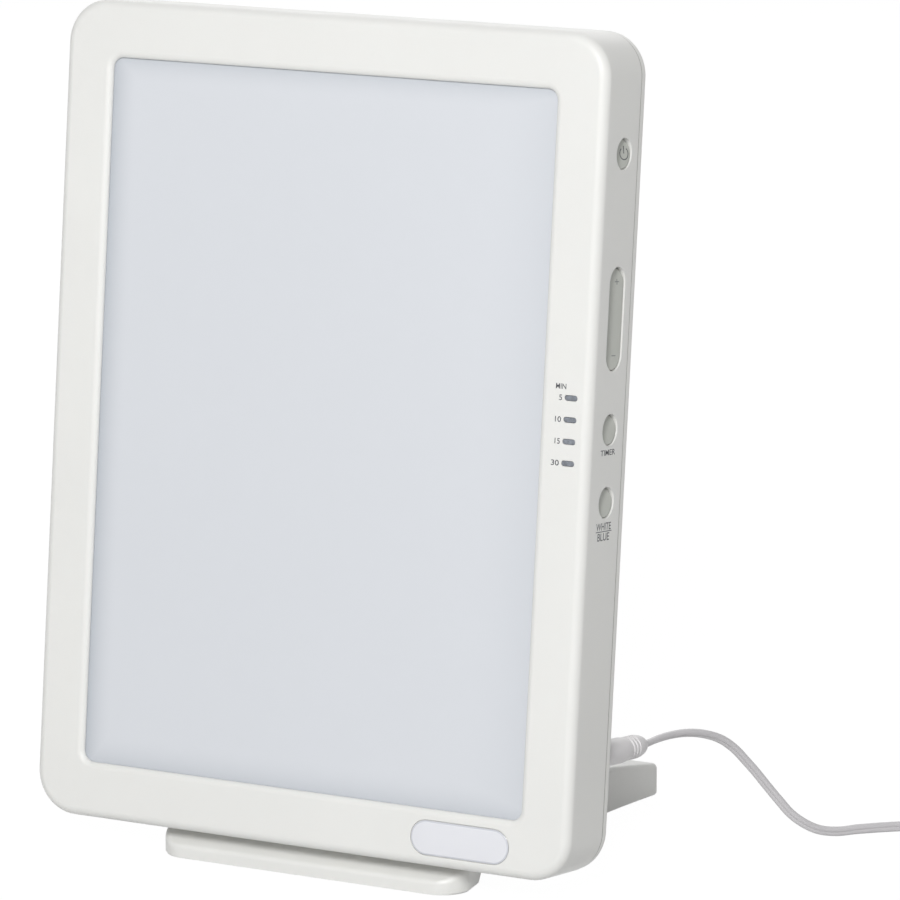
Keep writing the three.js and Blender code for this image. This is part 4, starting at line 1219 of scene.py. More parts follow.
@dataclass
class BackCover:
    """The shallow lid behind the seam, with its vents, posts and the stand's socket."""

    casing: Casing
    fillet: float = 2.0
    groove: float = 0.1
    step: float = 0.2
    edge: float = 0.15
    lip_wall: float = 1.2
    lip_reach: float = 2.3
    vent_half: Place = (1.2, 15.0)
    vent_pitch: float = 7.0
    vent_count: int = 11
    vent_drop: float = 62.0
    jack_radius: float = 4.2
    head_radius: float = 3.3
    mouth: float = 0.3
    socket_half: float = 30.3
    socket_draft: float = 3.0
    socket_edge: float = 1.2
    socket_crown: float = 4.0
    pocket_play: float = 1.5
    tray_post_radius: float = 3.0
    tray_post_front: float = 22.3
    tray_post: Place = (60.0, 75.0)
    board_post_radius: float = 2.5
    board_post_reach: float = 2.8
    board_post: Place = (31.0, 18.5)
    board_centre: Place = (50.0, 52.5)
    shank_radius: float = 1.6
    shank_front: float = 10.0

    def shell(self) -> Mesh:
        """The lid with its inner lip.

        Returns:
            The mesh.
        """
        case = self.casing
        inset = case.side_wall + SEAT
        front = case.cover_front + self.groove
        rings = [
            case.ring(inset + self.lip_wall, case.cover_inner),
            case.ring(inset + self.lip_wall, case.seam - self.lip_reach),
            case.ring(inset, case.seam - self.lip_reach),
            case.ring(inset, front),
        ]
        rings += [case.ring(self.step + back, front + near) for near, back in quarter(self.edge, 3)]
        rings += [
            case.ring(self.step + near, case.depth - back)
            for near, back in quarter(self.fillet, 8)
        ]
        return loft(rings)

    def socket(self) -> tuple[Mesh, Mesh]:
        """The bump that the stand's tongue enters from below, and its pocket.

        Returns:
            The bump and the pocket.
        """
        case = self.casing
        outer = case.pocket_end + case.socket_wall
        bottom = case.socket_bottom
        pocket_top = case.tongue_top + self.pocket_play
        top = pocket_top + self.socket_crown
        centre, half = (0.0, (bottom + top) / 2), (top - bottom) / 2
        wide = self.socket_half + case.socket_wall
        run = outer - case.depth + ROOT
        radius = case.tongue_radius
        root = case.depth - ROOT
        rings = [Outline(Axis.Y, (wide + self.socket_draft, half), radius, centre).ring(root)]
        for inset, back in quarter(self.socket_edge, 6):
            flare = self.socket_draft * (1 - (run - back) / run)
            bump = Outline(Axis.Y, (wide + flare, half), radius, centre)
            rings.append(bump.ring(outer - back, -inset))
        low = bottom - 2 * radius
        middle, size = (0.0, (pocket_top + low) / 2), (self.socket_half, (pocket_top - low) / 2)
        pocket = Outline(Axis.Y, size, radius, middle)
        return loft(rings), loft([pocket.ring(y) for y in (case.depth, case.pocket_end)])

    def cutters(self) -> Mesh:
        """Cutters of the vents, the jack's hole and the screw holes.

        Returns:
            The cutters as one mesh.
        """
        case = self.casing
        through = (case.depth, case.cover_inner - OVERRUN)
        blind = (case.depth, case.depth - case.head_depth)
        half, z = self.vent_half, case.height - self.vent_drop
        made = []
        for i in range(self.vent_count):
            place = ((i - (self.vent_count - 1) / 2) * self.vent_pitch, z)
            made.append(flared(Outline(Axis.Y, half, half[0], place, 8), through, self.mouth))
        rounds = [(JACK, self.jack_radius, through)]
        rounds += [(place, self.head_radius, blind) for place in case.screws()]
        for place, radius, depths in rounds:
            hole = Outline(Axis.Y, (radius, radius), radius, place, 10)
            made.append(flared(hole, depths, self.mouth))
        return merged(made)

    def posts(self) -> Mesh:
        """Posts of the screws, of the reflector tray and of the driver board.

        Returns:
            The posts as one mesh.
        """
        case = self.casing
        inner, end = case.cover_inner, case.cover_inner + ROOT
        centre = (0.0, case.middle)
        made = [
            rod(case.boss_radius, inner - case.boss_reach, end, Axis.Y, place)
            for place in case.screws()
        ]
        for (x, z), (u, v), radius, front in (
            (centre, self.tray_post, self.tray_post_radius, self.tray_post_front),
            (
                self.board_centre,
                self.board_post,
                self.board_post_radius,
                inner - self.board_post_reach,
            ),
        ):
            made += [
                rod(radius, front, end, Axis.Y, (x + a * u, z + b * v))
                for a in (-1, 1)
                for b in (-1, 1)
            ]
        return merged(made)

    def build(self) -> None:
        """Builds the cover and its screws."""
        case = self.casing
        bump, pocket = self.socket()
        shanks = [
            rod(self.shank_radius, self.shank_front, case.depth, Axis.Y, place, 24)
            for place in case.screws()
        ]
        body = combine(self.shell(), self.posts(), Operation.JOIN)
        body = combine(body, bump, Operation.JOIN)
        for tool in (pocket, self.cutters(), merged(shanks)):
            body = combine(body, tool, Operation.CUT)
        dress("cover_back", body, PANEL, HOUSING_WHITE, Body.PANEL, Slot.HOUSING, ["back_cover"])
        for number, place in enumerate(case.screws(), 1):
            CoverScrew(case, number, place).build()


@dataclass
class CoverScrew:
    """A pan head screw with a cross recess."""

    casing: Casing
    number: int
    place: Place
    length: float = 14.0
    point: float = 1.6
    tip: float = 0.5
    shank: float = 1.2
    head: float = 2.9
    edge: float = 0.25
    rim: float = 0.8
    crown: float = 1.2
    crown_steps: int = 6
    cross_half: Place = (1.5, 0.35)
    cross_depths: Place = (0.9, 3.0)

    def build(self) -> None:
        """Builds the screw."""
        face = self.casing.depth - self.casing.head_depth + SEAT
        end, head = face - self.length, self.head
        profile = [(0.0, end), (self.tip, end), (self.shank, end + self.point)]
        profile += [(self.shank, face), (head - self.edge, face), (head, face + self.edge)]
        for step in range(self.crown_steps + 1):
            angle = math.pi / 2 * step / self.crown_steps
            rise = self.rim + self.crown * math.sin(angle)
            profile.append((head * math.cos(angle), face + rise))
        body = turned(profile, Axis.Y, self.place)
        x, z = self.place
        depths = tuple(face + depth for depth in self.cross_depths)
        for wide, tall in (self.cross_half, reversed(self.cross_half)):
            bar = block((x - wide, x + wide), depths, (z - tall, z + tall))
            body = combine(body, bar, Operation.CUT)
        name, node = f"screw_{self.number}", f"cover_screw_{self.number}"
        dress(name, body, PANEL, STEEL, Body.PANEL, Slot.STEEL, [node])


@dataclass
class SideControls:
    """The three round buttons and the brightness rocker, with their signs."""

    casing: Casing
    controls: Controls
    edge: float = 0.35
    cap_steps: int = 12
    rocker_steps: int = 10
    rocker_share: float = 0.96
    hub_reach: float = 2.6
    stem_spread: float = 14.0
    pin_hole: float = 1.3
    stroke: float = 0.42
    stroke_lifts: Place = (-0.05, 0.03)
    sign_shift: float = 2.2
    arc_radius: float = 2.3
    arc_gap: float = 35.0
    arc_steps: int = 28
    bar_length: float = 3.0
    bar_steps: int = 6
    plus_up: float = 14.3
    minus_down: float = 14.4
    arm: float = 1.1

    def cap(self, z: float) -> Mesh:
        """A dished cap with its flange and stem.

        Args:
            z: Its height.

        Returns:
            The mesh.
        """
        controls = self.controls
        outer = self.casing.wall_inner - SEAT
        inner = outer - controls.flange
        tip, stem = inner - controls.stem_reach, controls.stem_radius
        radius = controls.cap_radius
        wide = radius + controls.flange
        rim = self.casing.half_width - controls.cap_recess
        profile = [(0.0, tip), (stem, tip), (stem, inner)]
        profile += [(wide, inner), (wide, outer), (radius, outer)]
        profile += [(radius - inset, rim - back) for inset, back in quarter(self.edge, 4)]
        dish = radius - controls.cap_edge
        for step in range(self.cap_steps + 1):
            place = dish * (1 - step / self.cap_steps)
            profile.append((place, controls.dish_at(place)))
        body = turned(profile, Axis.X, (controls.depth, z), 64)
        return controls.scooped(body, z, (radius, radius))

    def rocker_face(self, share: float) -> float:
        """Where the rocker's face lies along X, from its rim at 0 to its middle at 1."""
        face = self.casing.half_width - self.controls.cap_recess
        return face - self.controls.rocker_dish * math.sin(min(share, 1.0) * math.pi / 2)

    @property
    def rocker_run(self) -> float:
        """How far the rocker's face is dished inwards from its rounded edge."""
        return self.controls.rocker_half[0] * self.rocker_share - self.edge

    def rocker(self) -> Mesh:
        """The rocker's dished bar with its hub and stems.

        Returns:
            The mesh.
        """
        case, controls = self.casing, self.controls
        z = controls.height_of(controls.rocker_drop)
        half_u = controls.rocker_half[0]
        face = self.rocker_face(0.0)
        back = face - controls.rocker_plate
        bar = Outline(Axis.X, controls.rocker_half, half_u, (controls.depth, z), 20)
        rings = [bar.ring(back)]
        rings += [bar.ring(face - near, -inset) for inset, near in quarter(self.edge, 4)]
        for step in range(1, self.rocker_steps + 1):
            share = step / self.rocker_steps
            inset = self.edge + self.rocker_run * share
            rings.append(bar.ring(self.rocker_face(share), -inset))
        body = controls.scooped(loft(rings), z, controls.rocker_half)
        pin = case.half_width - controls.pin_inset
        near, far = controls.depth - half_u, controls.depth + half_u
        tall = (z - controls.hub_half, z + controls.hub_half)
        hub = block((pin - self.hub_reach, back + ROOT), (near + SEAT, far - SEAT), tall)
        tip = case.wall_inner - SEAT - controls.flange - controls.stem_reach
        stems = [
            rod(controls.stem_radius, tip, back + ROOT, Axis.X, (controls.depth, z + s))
            for s in (-self.stem_spread, self.stem_spread)
        ]
        hole = rod(self.pin_hole, near - OVERRUN, far + OVERRUN, Axis.Y, (pin, z), 24)
        body = combine(body, hub, Operation.JOIN)
        body = combine(body, merged(stems), Operation.JOIN)
        return combine(body, hole, Operation.CUT)

    def sign(
        self, strokes: Sequence[Sequence[Place]], face: Callable[[float, float], float]
    ) -> Mesh:
        """Thin raised strokes that follow a dished face.

        Args:
            strokes: Paths of (depth, height) points.
            face: Gives the face's place along X at a depth and height.

        Returns:
            The mesh.
        """
        low, high = self.stroke_lifts
        bars = []
        for stroke in strokes:
            points = [Vector((0.0, *point)) for point in stroke]
            rings = []
            for i, point in enumerate(points):
                along = direction_at(points, i)
                out = Vector((0.0, -along.z, along.y)) * self.stroke / 2
                ring = []
                for side, lift in ((-1, low), (1, low), (1, high), (-1, high)):
                    place = point + out * side
                    ring.append(Vector((face(place.y, place.z) + lift, place.y, place.z)))
                rings.append(ring)
            bars.append(loft(rings))
        return merged(bars)

    def power_sign(self, z: float) -> Mesh:
        """The power sign: an open circle with a bar in its gap.

        Args:
            z: Height of the button's middle.

        Returns:
            The mesh.
        """
        controls = self.controls
        depth = controls.depth + self.sign_shift
        arc = []
        for step in range(self.arc_steps + 1):
            turn = 90 + self.arc_gap + (360 - 2 * self.arc_gap) * step / self.arc_steps
            angle = math.radians(turn)
            u, v = self.arc_radius * math.cos(angle), self.arc_radius * math.sin(angle)
            arc.append((depth + u, z + v))
        steps = range(self.bar_steps + 1)
        bar = [(depth, z + self.bar_length / self.bar_steps * step) for step in steps]

        def face(y: float, up: float) -> float:
            """The button's face along X.

            Args:
                y: The place from front to back.
                up: The height.

            Returns:
                The face's place.
            """
            back, above = y - controls.depth, up - z
            scoop = controls.scoop_at(back, above, controls.cap_radius)
            return controls.dish_at(math.hypot(back, above)) - scoop

        return self.sign([arc, bar], face)

    def rocker_signs(self) -> Mesh:
        """The plus near the rocker's upper end and the minus near its lower end.

        Returns:
            The mesh.
        """
        controls = self.controls
        middle = controls.height_of(controls.rocker_drop)
        depth = controls.depth + self.sign_shift
        plus, minus = middle + self.plus_up, middle - self.minus_down
        half_u, half_v = controls.rocker_half
        arm, gap, count = self.arm, self.stroke / 2, self.bar_steps

        def face(y: float, up: float) -> float:
            """The rocker's face along X.

            Args:
                y: The place from front to back.
                up: The height.

            Returns:
                The face's place.
            """
            back = y - controls.depth
            beyond = controls.beyond(up - middle, half_v - half_u)
            share = (half_u - math.hypot(back, beyond) - self.edge) / self.rocker_run
            return self.rocker_face(max(share, 0.0)) - controls.scoop_at(back, beyond, half_u)

        def bar(y0: float, z0: float, y1: float, z1: float) -> list[Place]:
            """A straight stroke in even steps."""
            shares = [step / count for step in range(count + 1)]
            return [(y0 + (y1 - y0) * share, z0 + (z1 - z0) * share) for share in shares]

        strokes = [
            bar(depth - arm, plus, depth + arm, plus),
            bar(depth, plus + arm, depth, plus + gap),
            bar(depth, plus - gap, depth, plus - arm),
            bar(depth - arm, minus, depth + arm, minus),
        ]
        return self.sign(strokes, face)

    def build(self) -> None:
        """Builds the buttons, the rocker and their signs."""
        controls = self.controls
        caps = (
            (Body.POWER, controls.power_drop),
            (Body.TIMER, controls.timer_drop),
            (Body.COLOUR, controls.colour_drop),
        )
        for body, drop in caps:
            cap = self.cap(controls.height_of(drop))
            name = body.value.replace("button", "cap")
            dress(name, cap, PANEL, CONTROL_GREY, body, Slot.CONTROL, [body.value])
        sign = self.power_sign(controls.height_of(controls.power_drop))
        dress("power_sign", sign, PANEL, SIGN_INK, Body.POWER, Slot.CONTROL)
        bar, node = self.rocker(), "brightness_rocker"
        dress("rocker_bar", bar, PANEL, CONTROL_GREY, Body.ROCKER, Slot.CONTROL, [node])
        dress("rocker_signs", self.rocker_signs(), PANEL, FAINT_INK, Body.ROCKER, Slot.CONTROL)


@dataclass
class FrontDetails:
    """The indicator lenses and the blank badge on the frame's face."""

    casing: Casing
    controls: Controls
    lens_play: float = 0.1
    lens_edge: tuple[Place, ...] = ((-0.55, 0.08), (-0.3, 0.1), (-0.1, 0.2), (0.0, 0.4))
    lens_flange: Place = (0.9, 1.0)
    badge_back: float = 0.3
    badge_rim: float = 0.1
    badge_dome: float = 0.55
    badge_steps: int = 12
    badge_share: float = 0.97
    badge_powers: Place = (1.6, 2.6)

    def lens(self, place: Place) -> Mesh:
        """A pill-shaped lens with a soft edge and its flange behind the wall.

        Args:
            place: Its middle in X and Z.

        Returns:
            The mesh.
        """
        controls = self.controls
        half_u, half_v = (half - self.lens_play for half in controls.pill_half)
        radius = controls.pill_radius - self.lens_play
        behind = self.casing.front_wall + SEAT
        wide, thick = self.lens_flange
        pill = Outline(Axis.Y, (half_u, half_v), radius, place, 8)
        flange = Outline(Axis.Y, (half_u + wide, half_v + wide), radius, place, 8)
        rings = [pill.ring(y, grow) for grow, y in self.lens_edge]
        rings += [pill.ring(behind), flange.ring(behind), flange.ring(behind + thick)]
        return loft(rings)

    def badge(self) -> Mesh:
        """The badge's low dome.

        Returns:
            The mesh.
        """
        half = BADGE_HALF[1]
        rim, top = self.badge_rim, self.badge_back - self.badge_dome
        inward, upward = self.badge_powers
        label = Outline(Axis.Y, BADGE_HALF, half, BADGE_CENTRE, 20)
        rings = [label.ring(self.badge_back), label.ring(rim)]
        for step in range(1, self.badge_steps + 1):
            share = step / self.badge_steps
            inset = half * self.badge_share * share**inward
            rings.append(label.ring(rim - (1 - (1 - share) ** upward) * (rim - top), -inset))
        return loft(rings)

    def build(self) -> None:
        """Builds the lenses and the badge."""
        for label, place in zip(MINUTES, self.controls.pills()):
            name, node = f"lens_{label}", f"indicator_lens_{label}"
            dress(name, self.lens(place), PANEL, SMOKE, Body.PANEL, Slot.LENS, [node])
        badge, nodes = self.badge(), ["badge_blank"]
        dress("badge_dome", badge, PANEL, BADGE, Body.PANEL, Slot.BADGE, nodes, sharp=60.0)


class Side(Enum):
    """The faces of the casing that carry print."""

    FRONT = "front"
    RIGHT = "right"


@dataclass
class Print:
    """One printed word or number.

    Its box is given in the face's own directions: from left to right and from bottom to top.
    """

    text: str
    side: Side
    left: float
    right: float
    bottom: float
    top: float


@dataclass
class Lettering:
    """The printed words and numbers beside the controls."""

    casing: Casing
    controls: Controls
    letter_size: float = 10.0
    letter_depth: float = 0.5
    letter_steps: int = 6
    weight: float = 0.1
    proud: float = 0.02
    minute_widths: tuple[float, ...] = (1.3, 2.6, 2.3, 3.4)
    minute_right: float = 109.7
    minute_half: float = 1.1
    rule_span: Place = (10.0, 23.0)
    rule_down: float = 27.7
    rule_half: float = 0.17

    def words(self) -> list[Print]:
        """All printed words, with heights above the panel's lower edge.

        Returns:
            The words.
        """
        middle = self.casing.middle
        rows = [
            Print("MIN", Side.FRONT, 106.8, 111.3, middle + 27.7, middle + 29.8),
            Print("TIMER", Side.RIGHT, 10.5, 22.6, middle + 2.0, middle + 4.2),
            Print("WHITE", Side.RIGHT, 10.1, 22.3, middle - 27.2, middle - 24.3),
            Print("BLUE", Side.RIGHT, 11.5, 21.3, middle - 31.3, middle - 28.3),
        ]
        right, half = self.minute_right, self.minute_half
        for label, wide, (_, z) in zip(MINUTES, self.minute_widths, self.controls.pills()):
            rows.append(Print(label, Side.FRONT, right - wide, right, z - half, z + half))
        return rows

    def mesh_of(self, word: Print) -> Mesh:
        """A word's letters as thin solids that fill its box.

        Args:
            word: The word.

        Returns:
            The mesh, in the panel's frame.
        """
        curve = bpy.data.curves.new("letters", "FONT")
        curve.body = word.text
        curve.size = self.letter_size
        curve.extrude = self.letter_depth
        curve.offset = self.weight
        curve.resolution_u = self.letter_steps
        holder = bpy.data.objects.new("letters", curve)
        bpy.context.scene.collection.objects.link(holder)
        graph = bpy.context.evaluated_depsgraph_get()
        mesh = bpy.data.meshes.new_from_object(holder.evaluated_get(graph))
        bpy.data.objects.remove(holder)
        across, upwards = ([vertex.co[i] for vertex in mesh.vertices] for i in range(2))
        end, foot = max(across), min(upwards)
        tall = (word.top - word.bottom) / (max(upwards) - foot)
        wide = (word.right - word.left) / (end - min(across))
        for vertex in mesh.vertices:
            u = word.right + (vertex.co.x - end) * wide
            v = word.bottom + (vertex.co.y - foot) * tall
            lift = self.proud if vertex.co.z > 0 else -self.proud
            if word.side is Side.FRONT:
                vertex.co = (u, -lift, v)
            else:
                vertex.co = (self.casing.half_width + lift, u, v)
        shape = bmesh.new()
        shape.from_mesh(mesh)
        return mesh_from(shape)

    def rule(self) -> Mesh:
        """The thin line between the two words below the colour button.

        Returns:
            The mesh.
        """
        x, z = self.casing.half_width, self.casing.middle - self.rule_down
        depths = (x - self.proud, x + self.proud)
        return block(depths, self.rule_span, (z - self.rule_half, z + self.rule_half))

    def build(self) -> None:
        """Builds the print on the frame's face and on its right side."""
        for side in Side:
            meshes = [self.mesh_of(word) for word in self.words() if word.side is side]
            if side is Side.RIGHT:
                meshes.append(self.rule())
            name, print_mesh = f"print_{side.value}", merged(meshes)
            dress(name, print_mesh, PANEL, INK, Body.PANEL, Slot.CONTROL, sharp=20.0)


@dataclass
class Stand:
    """The one-piece moulded stand: toe, saddle, arched and ribbed foot, and tongue."""

    casing: Casing
    proud: float = 0.5
    toe_front: float = 7.5
    toe_half: float = 69.3
    toe_corner: float = 11.5
    toe_face: float = 3.7
    toe_edge: float = 2.5
    toe_slope: float = math.radians(27)
    saddle: float = 19.2
    hub_ramp: float = 5.0
    crown_front: float = 50.0
    waist_half: float = 59.5
    waist_y: float = 120.9
    rear: float = 194.0
    rear_half: float = 64.6
    rear_height: float = 13.5
    rear_corner: float = 4.0
    rear_edge: float = 2.8
    side_edge: float = 2.0
    bottom_edge: float = 0.8
    wall: float = 2.5
    neck: Place = (26.0, 42.5)
    arch_front: float = 29.5
    arch_rise: float = 14.5
    arch_front_run: float = 12.5
    arch_rear: float = 140.0
    arch_rear_run: float = 35.0
    arch_bend: float = 0.7
    arch_ease: float = 1.6
    rib: float = 2.0
    rib_count: int = 5
    rib_shares: tuple[float, ...] = (-0.6, -0.2, 0.2, 0.6)
    pad_radius: float = 5.0
    pad_height: float = 1.9
    pad_boss: float = 8.6
    pads: tuple[Place, ...] = ((-50.0, 18.0), (50.0, 18.0), (-50.0, 175.0), (50.0, 175.0))
    tongue_half: float = 30.0
    tongue_root: float = 12.0
    tongue_edge: float = 0.6
    end_steps: int = 18
    body_steps: int = 27

    def plan_half(self, y: float, inset: float) -> float:
        """Half the stand's width at a place from front to back.

        Args:
            y: The place.
            inset: How far it is set in from the outside.

        Returns:
            The half width.
        """
        if y < self.waist_y:
            run = self.waist_y - self.toe_front - self.toe_corner
            half, radius, from_end = self.toe_half, self.toe_corner, y - self.toe_front
        else:
            run = self.rear - self.waist_y
            half, radius, from_end = self.rear_half, self.rear_corner, self.rear - y
        flare = half - self.waist_half
        share = min(abs(y - self.waist_y) / run, 1.0)
        radius, from_end = radius - inset, from_end - inset
        short = max(radius - from_end, 0.0)
        corner = radius - math.sqrt(max(radius**2 - short**2, 0.0))
        return self.waist_half + flare * share**2 - inset - corner

    def crown_at(self, y: float) -> float:
        """Height of the stand's top at a place from front to back.

        Args:
            y: The place.

        Returns:
            The height.
        """
        slope, hub = self.toe_slope, self.casing.hub_top
        edge_end = self.toe_front + self.toe_edge * (1 - math.sin(slope))
        short = self.toe_edge - (y - self.toe_front)
        if y < edge_end:
            return self.proud + self.toe_face + math.sqrt(max(self.toe_edge**2 - short**2, 0.0))
        edge_top = self.proud + self.toe_face + self.toe_edge * math.cos(slope)
        slope_top = edge_top + (self.saddle - edge_end) * math.tan(slope)
        if y <= self.saddle:
            return edge_top + (y - edge_end) * math.tan(slope)
        if y < self.saddle + self.hub_ramp:
            return slope_top + (hub - slope_top) * (y - self.saddle) / self.hub_ramp
        share = max(y - self.crown_front, 0.0) / (self.rear - self.crown_front)
        short_rear = max(self.rear_edge - (self.rear - y), 0.0)
        round_off = self.rear_edge - math.sqrt(self.rear_edge**2 - short_rear**2)
        return hub - (hub - self.rear_height) * share**2 - round_off

    def roof_at(self, y: float) -> float:
        """Height of the inner roof, a wall below the top and below the panel's seat.

        Args:
            y: The place from front to back.

        Returns:
            The height.
        """
        saddle = PANEL_LIFT - SEAT - y * math.tan(TILT)
        top = self.crown_at(y)
        return (min(top, saddle) if y < self.neck[1] else top) - self.wall

    def section(self, y: float, inset: float, bottom: float, top: float) -> Ring:
        """A section across the stand: bevelled below, rounded at its upper corners.

        Args:
            y: Its place from front to back.
            inset: How far it is set in.
            bottom: Its lower edge.
            top: Its upper edge.

        Returns:
            The section's points.
        """
        half = self.plan_half(y, inset)
        bevel = 0.0 if inset > 0 else self.bottom_edge
        radius = min(max(self.side_edge - inset, SEAT), (top - bottom) / 2)
        side = [(half - bevel, bottom), (half, bottom + bevel)]
        side += [(half - near, top - back) for near, back in quarter(radius, 10)]
        mirrored = [(-x, z) for x, z in reversed(side)]
        return [Vector((x, y, z)) for x, z in side + mirrored]

    def stations(self, inset: float) -> list[float]:
        """Places of the sections from front to back.

        Args:
            inset: How far the form is set in.

        Returns:
            The places.
        """
        front, rear = self.toe_front + inset, self.rear - inset
        body_front = self.saddle + self.hub_ramp
        body_rear = rear - self.rear_corner
        run, count = body_rear - body_front, self.body_steps
        angles = [math.pi / 2 * step / self.end_steps for step in range(self.end_steps + 1)]
        curve = [1 - math.cos(angle) for angle in angles]
        places = [front + (self.toe_corner - inset) * share for share in curve]
        places += [self.saddle, body_front]
        places += [body_front + run * i / count for i in range(1, count)]
        places += [rear - (self.rear_corner - inset) * share for share in reversed(curve)]
        return sorted(set(round(place, 5) for place in places))

    def arch(self) -> Mesh:
        """The cutter of the arch between the toe and the rear feet.

        Returns:
            The mesh.
        """
        front, rear, base = self.arch_front, self.arch_rear, self.proud
        top, bend = base + self.arch_rise, self.arch_bend
        run = self.arch_front_run
        start = (front + run * bend, base + self.arch_rise * bend)
        profile = [(front, -OVERRUN), (front, base)]
        profile += bezier(start, (front + run, top), (front + run * self.arch_ease, top))
        run = self.arch_rear_run
        profile += bezier((rear - run, top), (rear - run * (1 - bend), top), (rear, base))
        profile.append((rear, -OVERRUN))
        wide = self.toe_half + OVERRUN
        return loft([[Vector((x, y, z)) for y, z in profile] for x in (-wide, wide)])

    def pockets(self) -> Mesh:
        """The hollow below the roof, less the ribs, the neck and the pad bosses.

        Returns:
            The mesh.
        """
        inner = loft(
            [
                self.section(y, self.wall, -OVERRUN, self.roof_at(y))
                for y in self.stations(self.wall)
            ]
        )
        wide = self.toe_half + OVERRUN
        low, high = -2 * OVERRUN, self.casing.hub_top
        span = self.rear - self.wall - self.neck[1]
        half = self.rib / 2
        across = [block((-wide, wide), self.neck, (low, high))]
        for i in range(self.rib_count):
            y = self.neck[1] + span * (i + 1) / (self.rib_count + 1)
            across.append(block((-wide, wide), (y - half, y + half), (low, high)))
        along = []
        for share in self.rib_shares:
            x = self.waist_half * share
            along.append(block((x - half, x + half), (0.0, self.rear), (low, high)))
        bosses = [rod(self.pad_boss, low, high, Axis.Z, place) for place in self.pads]
        for group in (across, along, bosses):
            inner = combine(inner, merged(group), Operation.CUT)
        return inner

    def tongue(self) -> Mesh:
        """The tongue that rises into the cover's socket, in the bench frame.

        Returns:
            The mesh.
        """
        case = self.casing
        near = case.depth + SEAT
        far = near + case.tongue_thickness
        low = case.socket_bottom - self.tongue_root
        centre = (0.0, (case.tongue_top + low) / 2)
        half = (self.tongue_half, (case.tongue_top - low) / 2)
        form = Outline(Axis.Y, half, case.tongue_radius, centre)
        edge = quarter(self.tongue_edge, 4)
        rings = [form.ring(near + back, -inset) for inset, back in reversed(edge)]
        rings += [form.ring(far - back, -inset) for inset, back in edge]
        mesh = loft(rings)
        mesh.transform(LEAN)
        return mesh

    def build(self) -> None:
        """Builds the stand."""
        case = self.casing
        body = loft(
            [self.section(y, 0.0, self.proud, self.crown_at(y)) for y in self.stations(0.0)]
        )
        seat = block(
            (-case.half_width, case.half_width),
            (-case.depth, case.depth + SEAT),
            (-SEAT, case.height),
        )
        seat.transform(LEAN)
        holes = [
            rod(self.pad_radius + SEAT, -OVERRUN, self.pad_height + SEAT, Axis.Z, place)
            for place in self.pads
        ]
        for tool in (self.pockets(), self.arch(), seat):
            body = combine(body, tool, Operation.CUT)
        body = combine(body, self.tongue(), Operation.JOIN)
        body = combine(body, merged(holes), Operation.CUT)
        dress("stand_moulding", body, BENCH, STAND_WHITE, Body.STAND, Slot.STAND, ["stand_base"])


def bezier(start: Place, control: Place, end: Place, steps: int = 10) -> list[Place]:
    """Points of a quadratic curve.

    Args:
        start: Where it starts.
        control: The point that it bends towards.
        end: Where it ends.
        steps: Its steps.

    Returns:
        The points, both ends included.
    """
    points = []
    for step in range(steps + 1):
        t = step / steps
        a, b, c = (1 - t) ** 2, 2 * t * (1 - t), t**2
        points.append(tuple(a * p + b * q + c * r for p, q, r in zip(start, control, end)))
    return points


